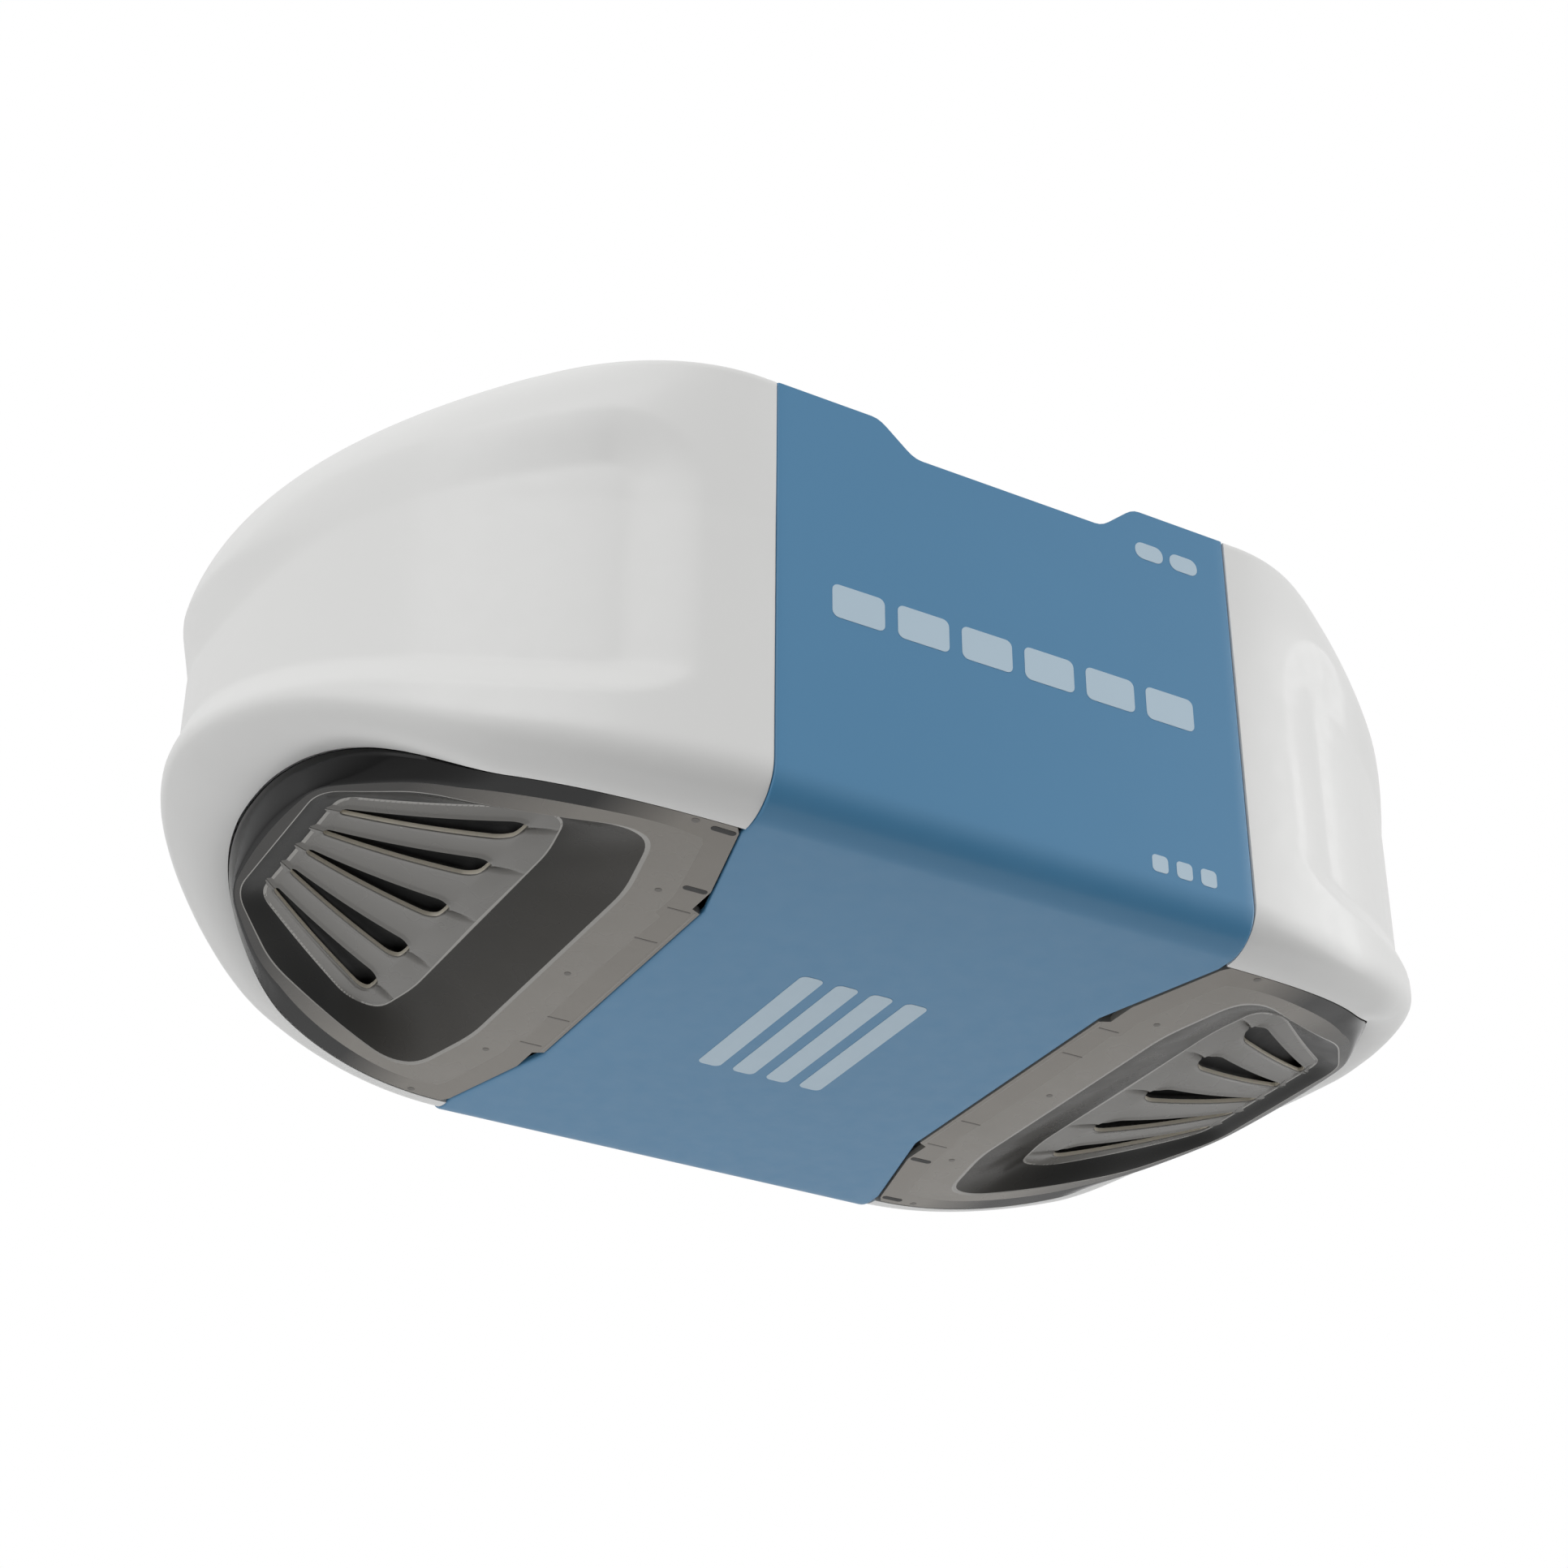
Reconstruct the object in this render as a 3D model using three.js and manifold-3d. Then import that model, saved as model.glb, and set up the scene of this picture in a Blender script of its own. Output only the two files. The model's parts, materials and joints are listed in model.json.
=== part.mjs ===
// Garage door opener, power head: a steel chassis with its drive train and electrics, a bent steel
// cover band, two moulded end covers and two smoked light lenses that hinge open for the lamps.
//
// Frame: millimetres, +Z up, origin at the middle of the underside. The decorated face of the band
// looks along -Y, the rail leaves over the back along +Y, and the lamp compartments lie at -X and +X.

import * as THREE from 'three';
import { mergeVertices } from 'three/addons/utils/BufferGeometryUtils.js';
import Module from 'manifold-3d';

const wasm = await Module();
wasm.setup();

// ---------------------------------------------------------------- driving dimensions

const GAP = 0.3;                 // clearance between pieces that touch

const BAND_WIDTH = 186;
const DEPTH = 270;
const HEIGHT = 166;              // top edge of band and end covers
const BAND_SHEET = 1.2;
const BAND_BEND = 15;            // outer radius of the two lower bends
const NOTCH_HALF_WIDTH = 39;     // flat bottom of the notch in the band's top edge
const NOTCH_RAMP = 14;
const NOTCH_FLOOR = 154;
const WAIST_HALF_WIDTH = 79;     // underside of the band, where it narrows between the lenses
const WAIST_START = 113;         // |y| where the band starts to narrow
const WAIST_END = 62;            // |y| where it has its narrow width

const COVER_REACH = 244.5;       // |x| of the belly at the outermost point
const COVER_ROOT = 88.2;         // |x| where the rounded plan outline starts
const COVER_EXPONENT = 1.85;     // superellipse exponent of the plan outline
const COVER_WALL = 2.5;
const BELLY_HEIGHT = 108;        // above this the wall leans inwards
const LEAN = 26;                 // how far it has leant in at the top edge
const LEAN_POWER = 1.4;
const CROWN_START = 118.5;       // above this it also rounds over towards the top face
const CROWN = 21.8;
const CROWN_POWER = 3.5;
const TOP_ROOT_SHIFT = 10.6;     // the plan outline at the top edge starts this much further out
const TOP_EXPONENT_SHIFT = 0.094;
const TOP_ROUND = 2.4;
const RIM_DROP = 0.72;           // how far the outer edge of the top face lies below it
const LIP_HEIGHT = 17;           // height of the rounded lower lip beside the band
const LIP_NARROWING = 5;         // how much lower it is at the outermost point
const LIP_STANDOFF = 2.5;        // how far above the lens edge the lip starts at the outer end

const PANEL_DEPTH = 4;           // depth of the recessed side panel
const PANEL_START = [118, 141];  // |x| of the outer and inner edge of its bevel beside the band
const PANEL_CEILING = 143;       // its upper border beside the band, sloping down outwards
const PANEL_CEILING_FROM = 147;
const PANEL_CEILING_SLOPE = 0.2;
const PANEL_NOSE_FROM = 213;     // outboard of this the upper border dips towards the outer end
const PANEL_NOSE_DIP = 17;
const PANEL_CEILING_BEVEL = 21;
const PANEL_SILL = 32;           // its lower border beside the band, rising outwards
const PANEL_SILL_FROM = 160;
const PANEL_SILL_RISE = 17;
const PANEL_SILL_POWER = 1.6;
const PANEL_SILL_BEVEL = 11;

const LENS_ROOT = 93;
const LENS_REACH = 216;          // |x| of the lens's outermost edge
const LENS_HALF_DEPTH = 116;
const LENS_EXPONENT = 2.1;
const LENS_WALL = 2.4;
const LENS_RISE = 24.6;          // how far the lens curves up towards its outer end
const LENS_EDGE_LIFT = 8;        // the extra turn-up along the outermost edge
const LENS_LIFT_X = [178, 210];  // |x| where that turn-up starts and is complete
const LENS_EDGE_BAND = 8;        // width of that turned-up edge
const LENS_GAP = 0.6;
const DISH_DEPTH_INNER = 8;
const DISH_DEPTH_OUTER = 4;
const BEAD_RADIUS = 1.6;         // round inner edge that the lens hinges on
const HINGE_X = 81.2;
const DISH_CENTRE = [160, 0];
const DISH_RIM_CORNERS = [[106.5, 62], [114, 95], [125, 98], [183, 67], [207, 38]];
const DISH_RIM_RADIUS = 9;
const DISH_FLOOR_CORNERS = [[133, 56], [137, 78], [150, 77], [199, 37]];
const DISH_FLOOR_RADIUS = 7;
const DISH_FLOOR_X = [134, 199]; // |x| between which the dish goes from its inner to its outer depth
const HINGE_RELIEF = 17;         // length in Y of the relief beside each end of the round edge
const HINGE_RELIEF_DEPTH = 2.2;
const LOUVRE_X = [151, 194];     // |x| of the centres of each slot's round ends
const LOUVRE_RADII = [5.2, 1.6];
const LOUVRES = [[-59, -31], [-32, -15.5], [0, 0], [32, 15.5], [59, 31]]; // y at those centres
const LATCH_SLOTS = [[103, 112], [93, 74]]; // (x of the blind end, y)
const LATCH_SLOT_WIDTH = 2.6;
const HINGE_BAR_HALF_LENGTH = 48;
const HOOK_Y = [-40, 40];
const HOOK_HALF_WIDTH = 6;
const HOOK_FOOT = 2.4;           // lower edge of the hooks

const CHASSIS_SHEET = 1.5;
const CHASSIS_TOP = 152;         // upper face of the top plate
const CHASSIS_HALF_WIDTH = 91.6;
const CHASSIS_HALF_DEPTH = 133.2;
const CHASSIS_WALL_FOOT = 16;    // lower edge of the end walls

const SHAFT_Y = 60;              // output shaft, vertical
const WORM_X = 38;               // worm and motor axis, parallel to Y
const DRIVE_Z = 100;             // mid-plane of the worm wheel
const GEAR_MODULE = 2;
const WHEEL_TEETH = 30;
const WHEEL_WIDTH = 12;
const WORM_PITCH_RADIUS = 8;
const WORM_LENGTH = 34;
const WORM_TURNS = 4;            // an even number centres a wheel tooth between two threads
const MOTOR_RADIUS = 43;
const SPROCKET_TEETH = 16;
const BELT_PITCH = 8;

const FLANGE_FOOT_WIDTH = 22;
const FLANGE_HALF_LENGTH = 60;
const FLANGE_HOLES_Y = [-42, 0, 42];
const FLANGE_HOLE_RISE = 18;     // height of the hanging holes above the flange's foot
const FLANGE_HOLE_RADIUS = 4.5;
const HANGER_SCREW = { shank: 3, headWidth: 8, length: 10 };
const RAIL_BOLT = { shank: 4, headWidth: 11, length: 12 };
const HEAD_HEIGHT = 4.2;
const WASHER_HEIGHT = 1.2;
const WASHER_PART = 0.72;        // washer radius as a part of the head's width
const BRACKET_HALF_WIDTH = 20;
const BRACKET_HEIGHT = 22;
const BRACKET_SHEET = 2;
const RAIL_PIN_RISE = 12;
const RAIL_PIN_RADIUS = 4;
const SOCKET_SHEET = 2;
const SOCKET_PLATE_HALF = [30, 26];
const SOCKET_HOLE_RADIUS = 9;
const CAN_SHEET = 3;
const CAP_LENGTH = 9;            // end cap of the motor, without its nose
const NOSE_LENGTH = 4;
const NOSE_RADIUS = 11;
const ISOLATOR_RADII = [8, 16];
const HANGER_HALF_WIDTH = 30;
const HANGER_CORNER = 16;
const HANGER_FOOT = [10, 2];     // length and thickness of the foot under the top plate
const HOUSING_X = [-38, 54];
const HOUSING_HALF_DEPTH = 38;
const WHEEL_ROOM_RADIUS = 34;
const WORM_ROOM_RADIUS = 12.5;
const WORM_ROOM_HALF_LENGTH = 19;
const LID_SHEET = 4;
const LID_POST_INSET = 6;
const SHROUD_RADIUS = 30;
const SHROUD_OPEN = 20;          // how far beyond the shaft the shroud reaches, towards the rail
const CORE_X = [-82, -30];
const CORE_Y = [-124, -84];
const CORE_HEIGHT = 44;
const CORE_WINDOWS = [[-74, -62], [-50, -38]];
const CORE_WINDOW_DEPTH = [9, 36]; // below the top plate
const COIL_OVERHANG = 6;
const CAPACITOR_RADIUS = 18;
const CAPACITOR_HALF_LENGTH = 38;
const CLIP_SHEET = 1.5;
const BOARD_SHEET = 1.6;
const BOARD_STANDOFF = 8;
const RELAY_HEIGHT = 16;
const BUTTON_HALF = [6, 5];
const BUTTON_COLLAR = 1.5;
const TAB_HALF_WIDTH = 3;
const TAB_TOP = 2;               // below the terminal block's top
const TAB_HEIGHT = 5;
const WIRE_HOLE_RADIUS = 1.6;

// places that more than one piece shares
const BUSHING_RADIUS = 11;
const OUTPUT_RADIUS = 6;
const OUTPUT_SHAFT_Z = [88, 176];
const SHAFT_RADIUS = 4;
const MOTOR_SHAFT_Y = [-126, 96];
const MOTOR_Y = [-98, -22];      // back and front of the motor can
const HANGER_FRONT_Y = [-11, -8];
const HANGER_BACK_Y = [-120, -117];
const SPEED_WHEEL_Y = [2, 3.5];
const HOUSING_Z = [84, 114];
const SPROCKET_Z = [157, 172];
const SPROCKET_COVER_HEIGHT = 26;
const SOCKET_Z = 100;
const GLAND_X = -62;
const GLAND_Y = 108;
const GLAND_NECK = 8;
const FLANGE_X = 88;             // outer face of the hanging flanges
const FLANGE_HEIGHT = 32;
const FLANGE_SHEET = 2.5;
const HANGER_SCREWS = [[76, -48], [76, 48], [-76, -48], [-76, 48]];
const RAIL_BRACKET_Y = [92, 130];
const RAIL_BOLTS = [[0, 100], [0, 122]];
const RAIL_PIN_Y = 111;
const BEND_CLEARANCE = 116;      // |y| beyond which the chassis clears the band's bends
const CAPACITOR_X = -62;
const CAPACITOR_Y = -30;
const CAPACITOR_Z = 124;
const BOARD_Y = [-56, 98];
const BOARD_Z = [26, 96];
const PANEL_LEFT = -78;
const PANEL_RIGHT = -10;
const PANEL_BOTTOM = 34;
const PANEL_TOP = 112;
const PANEL_FACE = 131;
const BUTTONS = [
  { name: 'learn_button', x: -62, z: 96 },
  { name: 'adjust_button', x: -26, z: 96 },
  { name: 'up_button', x: -44, z: 84 },
  { name: 'down_button', x: -44, z: 66 },
];
const TERMINAL_X = [-66, -22];
const TERMINAL_Z = [40, 56];
const TERMINALS = [-60.5, -49.5, -38.5, -27.5];

// ---------------------------------------------------------------- materials

const material = (color, roughness, metalness = 0) =>
  new THREE.MeshStandardMaterial({ color, roughness, metalness });

const BLUE_PAINT = material(0x4a7ba3, 0.4, 0.3);
const WHITE_PLASTIC = material(0xe4e4e4, 0.4);
const SMOKED_LENS = material(0x5c5852, 0.25);
const ZINC_STEEL = material(0xa9adb0, 0.4, 0.9);
const BLACK_PLASTIC = material(0x222224, 0.5);
const MOTOR_STEEL = material(0x8b8f93, 0.45, 0.8);
const CAST_ALUMINIUM = material(0xb4b5b3, 0.55, 0.8);
const SHAFT_STEEL = material(0xc8cacc, 0.25, 1);
const BRASS = material(0xb08d4a, 0.35, 0.9);
const NYLON = material(0xe9e3cf, 0.5);
const RUBBER = material(0x1b1b1b, 0.85);
const CORE_STEEL = material(0x55575a, 0.6, 0.6);
const WINDING_TAPE = material(0xc9a53a, 0.6);
const BOARD_GREEN = material(0x1f5a35, 0.5);
const RELAY_BLUE = material(0x2b4f86, 0.45);
const CERAMIC = material(0xe8e5dc, 0.35);
const LEARN_YELLOW = material(0xd9b62b, 0.45);
const TERMINAL_RED = material(0xb5322c, 0.45);
const TERMINAL_GREY = material(0x8c8f92, 0.45);

// ---------------------------------------------------------------- geometry helpers

// Keeps positions only, merges shared vertices, drops empty triangles and faces outwards.
function closed(source) {
  const bare = source.clone();
  for (const name of Object.keys(bare.attributes)) {
    if (name !== 'position') bare.deleteAttribute(name);
  }
  const merged = mergeVertices(bare, 1e-4);
  const position = merged.attributes.position;
  const index = merged.index.array;
  const kept = [];
  let volume = 0;
  const a = new THREE.Vector3();
  const b = new THREE.Vector3();
  const c = new THREE.Vector3();
  for (let i = 0; i < index.length; i += 3) {
    const [p, q, r] = [index[i], index[i + 1], index[i + 2]];
    if (p === q || q === r || r === p) continue;
    kept.push(p, q, r);
    a.fromBufferAttribute(position, p);
    b.fromBufferAttribute(position, q);
    c.fromBufferAttribute(position, r);
    volume += a.dot(b.cross(c)) / 6;
  }
  if (volume < 0) kept.reverse();
  merged.setIndex(kept);
  return merged;
}

function toSolid(geometry) {
  const clean = closed(geometry);
  return new wasm.Manifold(new wasm.Mesh({
    numProp: 3,
    vertProperties: new Float32Array(clean.attributes.position.array),
    triVerts: new Uint32Array(clean.index.array),
  }));
}

function toGeometry(solid) {
  const mesh = solid.getMesh();
  const geometry = new THREE.BufferGeometry();
  geometry.setAttribute('position', new THREE.BufferAttribute(new Float32Array(mesh.vertProperties), 3));
  geometry.setIndex([...mesh.triVerts]);
  return geometry;
}

const cut = (body, ...tools) =>
  toGeometry(tools.reduce((rest, tool) => rest.subtract(toSolid(tool)), toSolid(body)));
const join = (body, ...others) =>
  toGeometry(others.reduce((sum, other) => sum.add(toSolid(other)), toSolid(body)));

function block(x, y, z) {
  const box = new THREE.BoxGeometry(x[1] - x[0], y[1] - y[0], z[1] - z[0]);
  return box.translate((x[0] + x[1]) / 2, (y[0] + y[1]) / 2, (z[0] + z[1]) / 2);
}

// Cylinders along each axis, through (u, v) in the other two axes.
function rodZ(x, y, radius, z, sides = 24) {
  const rod = new THREE.CylinderGeometry(radius, radius, z[1] - z[0], sides).rotateX(Math.PI / 2);
  return rod.translate(x, y, (z[0] + z[1]) / 2);
}
function rodY(x, z, radius, y, sides = 24) {
  const rod = new THREE.CylinderGeometry(radius, radius, y[1] - y[0], sides);
  return rod.translate(x, (y[0] + y[1]) / 2, z);
}
function rodX(y, z, radius, x, sides = 24) {
  const rod = new THREE.CylinderGeometry(radius, radius, x[1] - x[0], sides).rotateZ(Math.PI / 2);
  return rod.translate((x[0] + x[1]) / 2, y, z);
}

const shapeOf = (points) => new THREE.Shape(points.map(([u, v]) => new THREE.Vector2(u, v)));

// Extrusions of an outline along each axis. An outline is drawn as (x, y), (x, z) or (y, z).
function prismZ(outline, z, holes = []) {
  const shape = shapeOf(outline);
  shape.holes = holes.map(shapeOf);
  const options = { depth: z[1] - z[0], bevelEnabled: false };
  return new THREE.ExtrudeGeometry(shape, options).translate(0, 0, z[0]);
}
function prismY(outline, y) {
  const options = { depth: y[1] - y[0], bevelEnabled: false };
  return new THREE.ExtrudeGeometry(shapeOf(outline), options).rotateX(Math.PI / 2).translate(0, y[1], 0);
}
function prismX(outline, x) {
  const options = { depth: x[1] - x[0], bevelEnabled: false };
  const prism = new THREE.ExtrudeGeometry(shapeOf(outline), options);
  return prism.rotateX(Math.PI / 2).rotateZ(Math.PI / 2).translate(x[0], 0, 0);
}

// A turned piece about Z: the profile is a list of (radius, z) that closes on the axis or on itself.
function turned(profile, sides = 32) {
  const points = profile.map(([radius, z]) => new THREE.Vector2(radius, z));
  return closed(new THREE.LatheGeometry(points, sides).rotateX(Math.PI / 2));
}

function arc(cx, cy, radius, from, to, steps) {
  return Array.from({ length: steps + 1 }, (_, i) => {
    const angle = THREE.MathUtils.degToRad(from + (to - from) * i / steps);
    return [cx + radius * Math.cos(angle), cy + radius * Math.sin(angle)];
  });
}

const mirroredX = (geometry) => closed(geometry.clone().scale(-1, 1, 1));
const turnedAbout = (geometry) => closed(geometry.clone().rotateZ(Math.PI));

// A closed body from two grids of points with the same layout, joined around their edges.
// closedRows: each row is a ring whose last point meets its first.
function thickSheet(outer, inner, closedRows = false) {
  const rows = outer.length;
  const columns = outer[0].length;
  const positions = [...outer.flat(), ...inner.flat()].flat();
  const index = [];
  const quad = (a, b, c, d) => index.push(a, b, c, a, c, d);
  const half = rows * columns;
  const at = (row, column, side) => side * half + row * columns + (column % columns);
  const spans = closedRows ? columns : columns - 1;
  for (let r = 0; r < rows - 1; r += 1) {
    for (let c = 0; c < spans; c += 1) {
      quad(at(r, c, 0), at(r, c + 1, 0), at(r + 1, c + 1, 0), at(r + 1, c, 0));
      quad(at(r, c, 1), at(r + 1, c, 1), at(r + 1, c + 1, 1), at(r, c + 1, 1));
    }
    if (!closedRows) {
      quad(at(r, 0, 0), at(r + 1, 0, 0), at(r + 1, 0, 1), at(r, 0, 1));
      const last = columns - 1;
      quad(at(r, last, 0), at(r, last, 1), at(r + 1, last, 1), at(r + 1, last, 0));
    }
  }
  for (let c = 0; c < spans; c += 1) {
    quad(at(0, c, 0), at(0, c, 1), at(0, c + 1, 1), at(0, c + 1, 0));
    quad(at(rows - 1, c, 0), at(rows - 1, c + 1, 0), at(rows - 1, c + 1, 1), at(rows - 1, c, 1));
  }
  const geometry = new THREE.BufferGeometry();
  geometry.setAttribute('position', new THREE.Float32BufferAttribute(positions, 3));
  geometry.setIndex(index);
  return closed(geometry);
}

const assembly = new THREE.Group();
function add(name, geometry, look, parent = assembly) {
  const mesh = new THREE.Mesh(closed(geometry), look);
  mesh.name = name;
  parent.add(mesh);
  return mesh;
}

// ---------------------------------------------------------------- cover band

function bandGeometry() {
  const y = DEPTH / 2;
  const inner = BAND_BEND - BAND_SHEET;
  const outline = [
    [-y, HEIGHT],
    ...arc(-y + BAND_BEND, BAND_BEND, BAND_BEND, 180, 270, 6),
    ...arc(y - BAND_BEND, BAND_BEND, BAND_BEND, 270, 360, 6),
    [y, HEIGHT],
    [y - BAND_SHEET, HEIGHT],
    ...arc(y - BAND_BEND, BAND_BEND, inner, 360, 270, 6),
    ...arc(-y + BAND_BEND, BAND_BEND, inner, 270, 180, 6),
    [-y + BAND_SHEET, HEIGHT],
  ];
  const half = BAND_WIDTH / 2;
  const ramp = NOTCH_HALF_WIDTH + NOTCH_RAMP;
  const notch = prismY([
    [-ramp - 2, HEIGHT + 2],
    [-ramp, HEIGHT],
    [-NOTCH_HALF_WIDTH, NOTCH_FLOOR],
    [NOTCH_HALF_WIDTH, NOTCH_FLOOR],
    [ramp, HEIGHT],
    [ramp + 2, HEIGHT + 2],
  ], [-DEPTH, DEPTH]);
  const waist = prismZ([
    [half + 5, -WAIST_START],
    [half, -WAIST_START],
    [WAIST_HALF_WIDTH, -WAIST_END],
    [WAIST_HALF_WIDTH, WAIST_END],
    [half, WAIST_START],
    [half + 5, WAIST_START],
  ], [-2, 5]);
  const panelWindow = block(
    [PANEL_LEFT, PANEL_RIGHT],
    [y - 5, y + 5],
    [PANEL_BOTTOM, PANEL_TOP],
  );
  return cut(prismX(outline, [-half, half]), notch, waist, mirroredX(waist), panelWindow);
}

// ---------------------------------------------------------------- end covers

const clamp = (value, low, high) => Math.min(Math.max(value, low), high);
const smooth = (value, low, high) => {
  const t = clamp((value - low) / (high - low), 0, 1);
  return t * t * (3 - 2 * t);
};

// Plan outline of a half superellipse, from the front (-90 degrees) round to the back (+90).
function planPoint(angle, root, reach, halfDepth, exponent) {
  const power = 2 / exponent;
  const x = root + (reach - root) * Math.abs(Math.cos(angle)) ** power;
  const y = Math.sign(angle) * halfDepth * Math.abs(Math.sin(angle)) ** power;
  return [x, y];
}

// How far out a place is, from 0 at one |x| to 1 at another.
const outward = (x, from, to) => clamp((x - from) / (to - from), 0, 1);

// The underside curves up from flat, at the band, to the outer end.
const undersideHeight = (x) => LENS_RISE * outward(x, LENS_ROOT, LENS_REACH) ** 2;

// The lens's outer edge turns up round the outer end, and the cover's lip follows it.
const edgeLift = (x) => LENS_EDGE_LIFT * smooth(x, ...LENS_LIFT_X);

// Plan outline of the side wall at a height, moved inwards by some distance.
function wallPoint(angle, z, inwards) {
  const above = outward(z, BELLY_HEIGHT, HEIGHT);
  const crown = CROWN * outward(z, CROWN_START, HEIGHT) ** CROWN_POWER;
  return planPoint(
    angle,
    COVER_ROOT + TOP_ROOT_SHIFT * above,
    COVER_REACH - LEAN * above ** LEAN_POWER - crown - inwards,
    DEPTH / 2 - inwards,
    COVER_EXPONENT + TOP_EXPONENT_SHIFT * above,
  );
}

// How far the side panel is sunk at a place on the wall: a flat floor with a bevel on every side.
function panelSink(x, z) {
  const ceiling = PANEL_CEILING
    - PANEL_CEILING_SLOPE * Math.max(x - PANEL_CEILING_FROM, 0)
    - PANEL_NOSE_DIP * outward(x, PANEL_NOSE_FROM, COVER_REACH) ** 2;
  const sill = PANEL_SILL + PANEL_SILL_RISE * outward(x, PANEL_SILL_FROM, COVER_REACH) ** PANEL_SILL_POWER;
  return PANEL_DEPTH * Math.min(
    outward(x, ...PANEL_START),
    outward(z, sill, sill + PANEL_SILL_BEVEL),
    1 - outward(z, ceiling - PANEL_CEILING_BEVEL, ceiling),
  );
}

const LIP_STEPS = 3;
const WALL_STEPS = 9;
const WALL_CROWDING = 1.35;      // the rows of the wall lie closer together towards the top
const COVER_COLUMNS = 24;

// One column of the cover skin, from the lens edge round the lip, up the wall and over the top.
function coverColumn(angle, inset) {
  const reach = LENS_REACH + LENS_GAP;
  const edge = planPoint(angle, LENS_ROOT, reach, LENS_HALF_DEPTH + LENS_GAP, LENS_EXPONENT);
  const root = BAND_WIDTH / 2 + GAP;
  const out = outward(edge[0], LENS_ROOT, reach);
  const standoff = LIP_STANDOFF * smooth(edge[0], ...LENS_LIFT_X);
  const foot = undersideHeight(edge[0]) + edgeLift(edge[0]) + standoff;
  const lipHeight = LIP_HEIGHT - LIP_NARROWING * out;
  const lipTop = foot + lipHeight;
  const lipOuter = wallPoint(angle, lipTop, inset);
  const span = Math.hypot(lipOuter[0] - edge[0], lipOuter[1] - edge[1]) || 1;
  const inner = edge.map((value, i) => value + (lipOuter[i] - value) * inset / span);
  const points = [[...inner, foot + COVER_WALL + TOP_ROUND]];
  for (let i = 0; i <= LIP_STEPS; i += 1) {
    const turn = Math.PI / 2 * i / LIP_STEPS;
    const [x, y] = inner.map((value, k) => value + (lipOuter[k] - value) * Math.sin(turn));
    points.push([x, y, foot + inset + (lipHeight - inset) * (1 - Math.cos(turn))]);
  }
  const top = HEIGHT - inset;
  for (let i = 1; i <= WALL_STEPS; i += 1) {
    const z = top - TOP_ROUND - (top - TOP_ROUND - lipTop) * (1 - i / WALL_STEPS) ** WALL_CROWDING;
    const flush = wallPoint(angle, z, inset);
    points.push([...wallPoint(angle, z, inset + panelSink(flush[0], z)), z]);
  }
  const rim = wallPoint(angle, top, inset);
  for (const fraction of [1, 1 - TOP_ROUND / COVER_REACH, 0.5, 0]) {
    const drop = fraction === 1 ? RIM_DROP : 0;
    points.push([root + (rim[0] - root) * fraction, rim[1] * fraction, top - drop]);
  }
  const besideBand = Math.abs(angle) === Math.PI / 2;
  return points.map(([x, y, z]) => [besideBand ? root : Math.max(x, root), y, z]);
}

function coverGeometry() {
  const skin = (inset) => Array.from({ length: COVER_COLUMNS + 1 }, (_, i) =>
    coverColumn(Math.PI * (i / COVER_COLUMNS - 0.5), inset));
  return thickSheet(skin(0), skin(COVER_WALL));
}

// ---------------------------------------------------------------- light lenses

// Where a ray from the dish centre meets an outline, as a distance.
function rayReach(angle, outline) {
  const [cx, cy] = DISH_CENTRE;
  const [dx, dy] = [Math.cos(angle), Math.sin(angle)];
  let reach = 0;
  outline.forEach(([x0, y0], i) => {
    const [x1, y1] = outline[(i + 1) % outline.length];
    const det = (x1 - x0) * dy - (y1 - y0) * dx;
    if (Math.abs(det) < 1e-9) return;
    const along = ((cx - x0) * dy - (cy - y0) * dx) / det;
    const distance = ((cx - x0) * (y1 - y0) - (cy - y0) * (x1 - x0)) / det;
    if (along >= -1e-9 && along <= 1 + 1e-9 && distance > reach) reach = distance;
  });
  return reach;
}

// Outlines that are the same front and back, from the corners of the +Y half and a corner radius.
function roundedOutline(halfCorners, radius) {
  const corners = [...halfCorners, ...halfCorners.map(([x, y]) => [x, -y]).reverse()];
  const points = [];
  corners.forEach((corner, i) => {
    const here = new THREE.Vector2(...corner);
    const before = new THREE.Vector2(...corners.at(i - 1));
    const after = new THREE.Vector2(...corners[(i + 1) % corners.length]);
    const toBefore = before.clone().sub(here);
    const toAfter = after.clone().sub(here);
    const start = here.clone().add(toBefore.setLength(Math.min(radius, toBefore.length() / 2.2)));
    const end = here.clone().add(toAfter.setLength(Math.min(radius, toAfter.length() / 2.2)));
    const bend = new THREE.QuadraticBezierCurve(start, here, end);
    points.push(...bend.getPoints(4).map((point) => [point.x, point.y]));
  });
  return points;
}

const DISH_RIM = roundedOutline(DISH_RIM_CORNERS, DISH_RIM_RADIUS);
const DISH_FLOOR = roundedOutline(DISH_FLOOR_CORNERS, DISH_FLOOR_RADIUS);

const LENS_COLUMNS = 44;
const LENS_OUTLINE_STEPS = 28;

function lensOutline() {
  const inner = WAIST_HALF_WIDTH + LENS_GAP;
  const root = BAND_WIDTH / 2 + LENS_GAP;
  const steps = LENS_OUTLINE_STEPS;
  const outer = Array.from({ length: steps + 1 }, (_, i) =>
    planPoint(-Math.PI / 2 + Math.PI * i / steps, LENS_ROOT, LENS_REACH, LENS_HALF_DEPTH, LENS_EXPONENT));
  outer[0][0] = root;
  outer[steps][0] = root;
  return [...outer, [root, WAIST_START], [inner, WAIST_END], [inner, -WAIST_END], [root, -WAIST_START]];
}

function dishLift(x) {
  return DISH_DEPTH_INNER + (DISH_DEPTH_OUTER - DISH_DEPTH_INNER) * outward(x, ...DISH_FLOOR_X);
}

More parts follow.
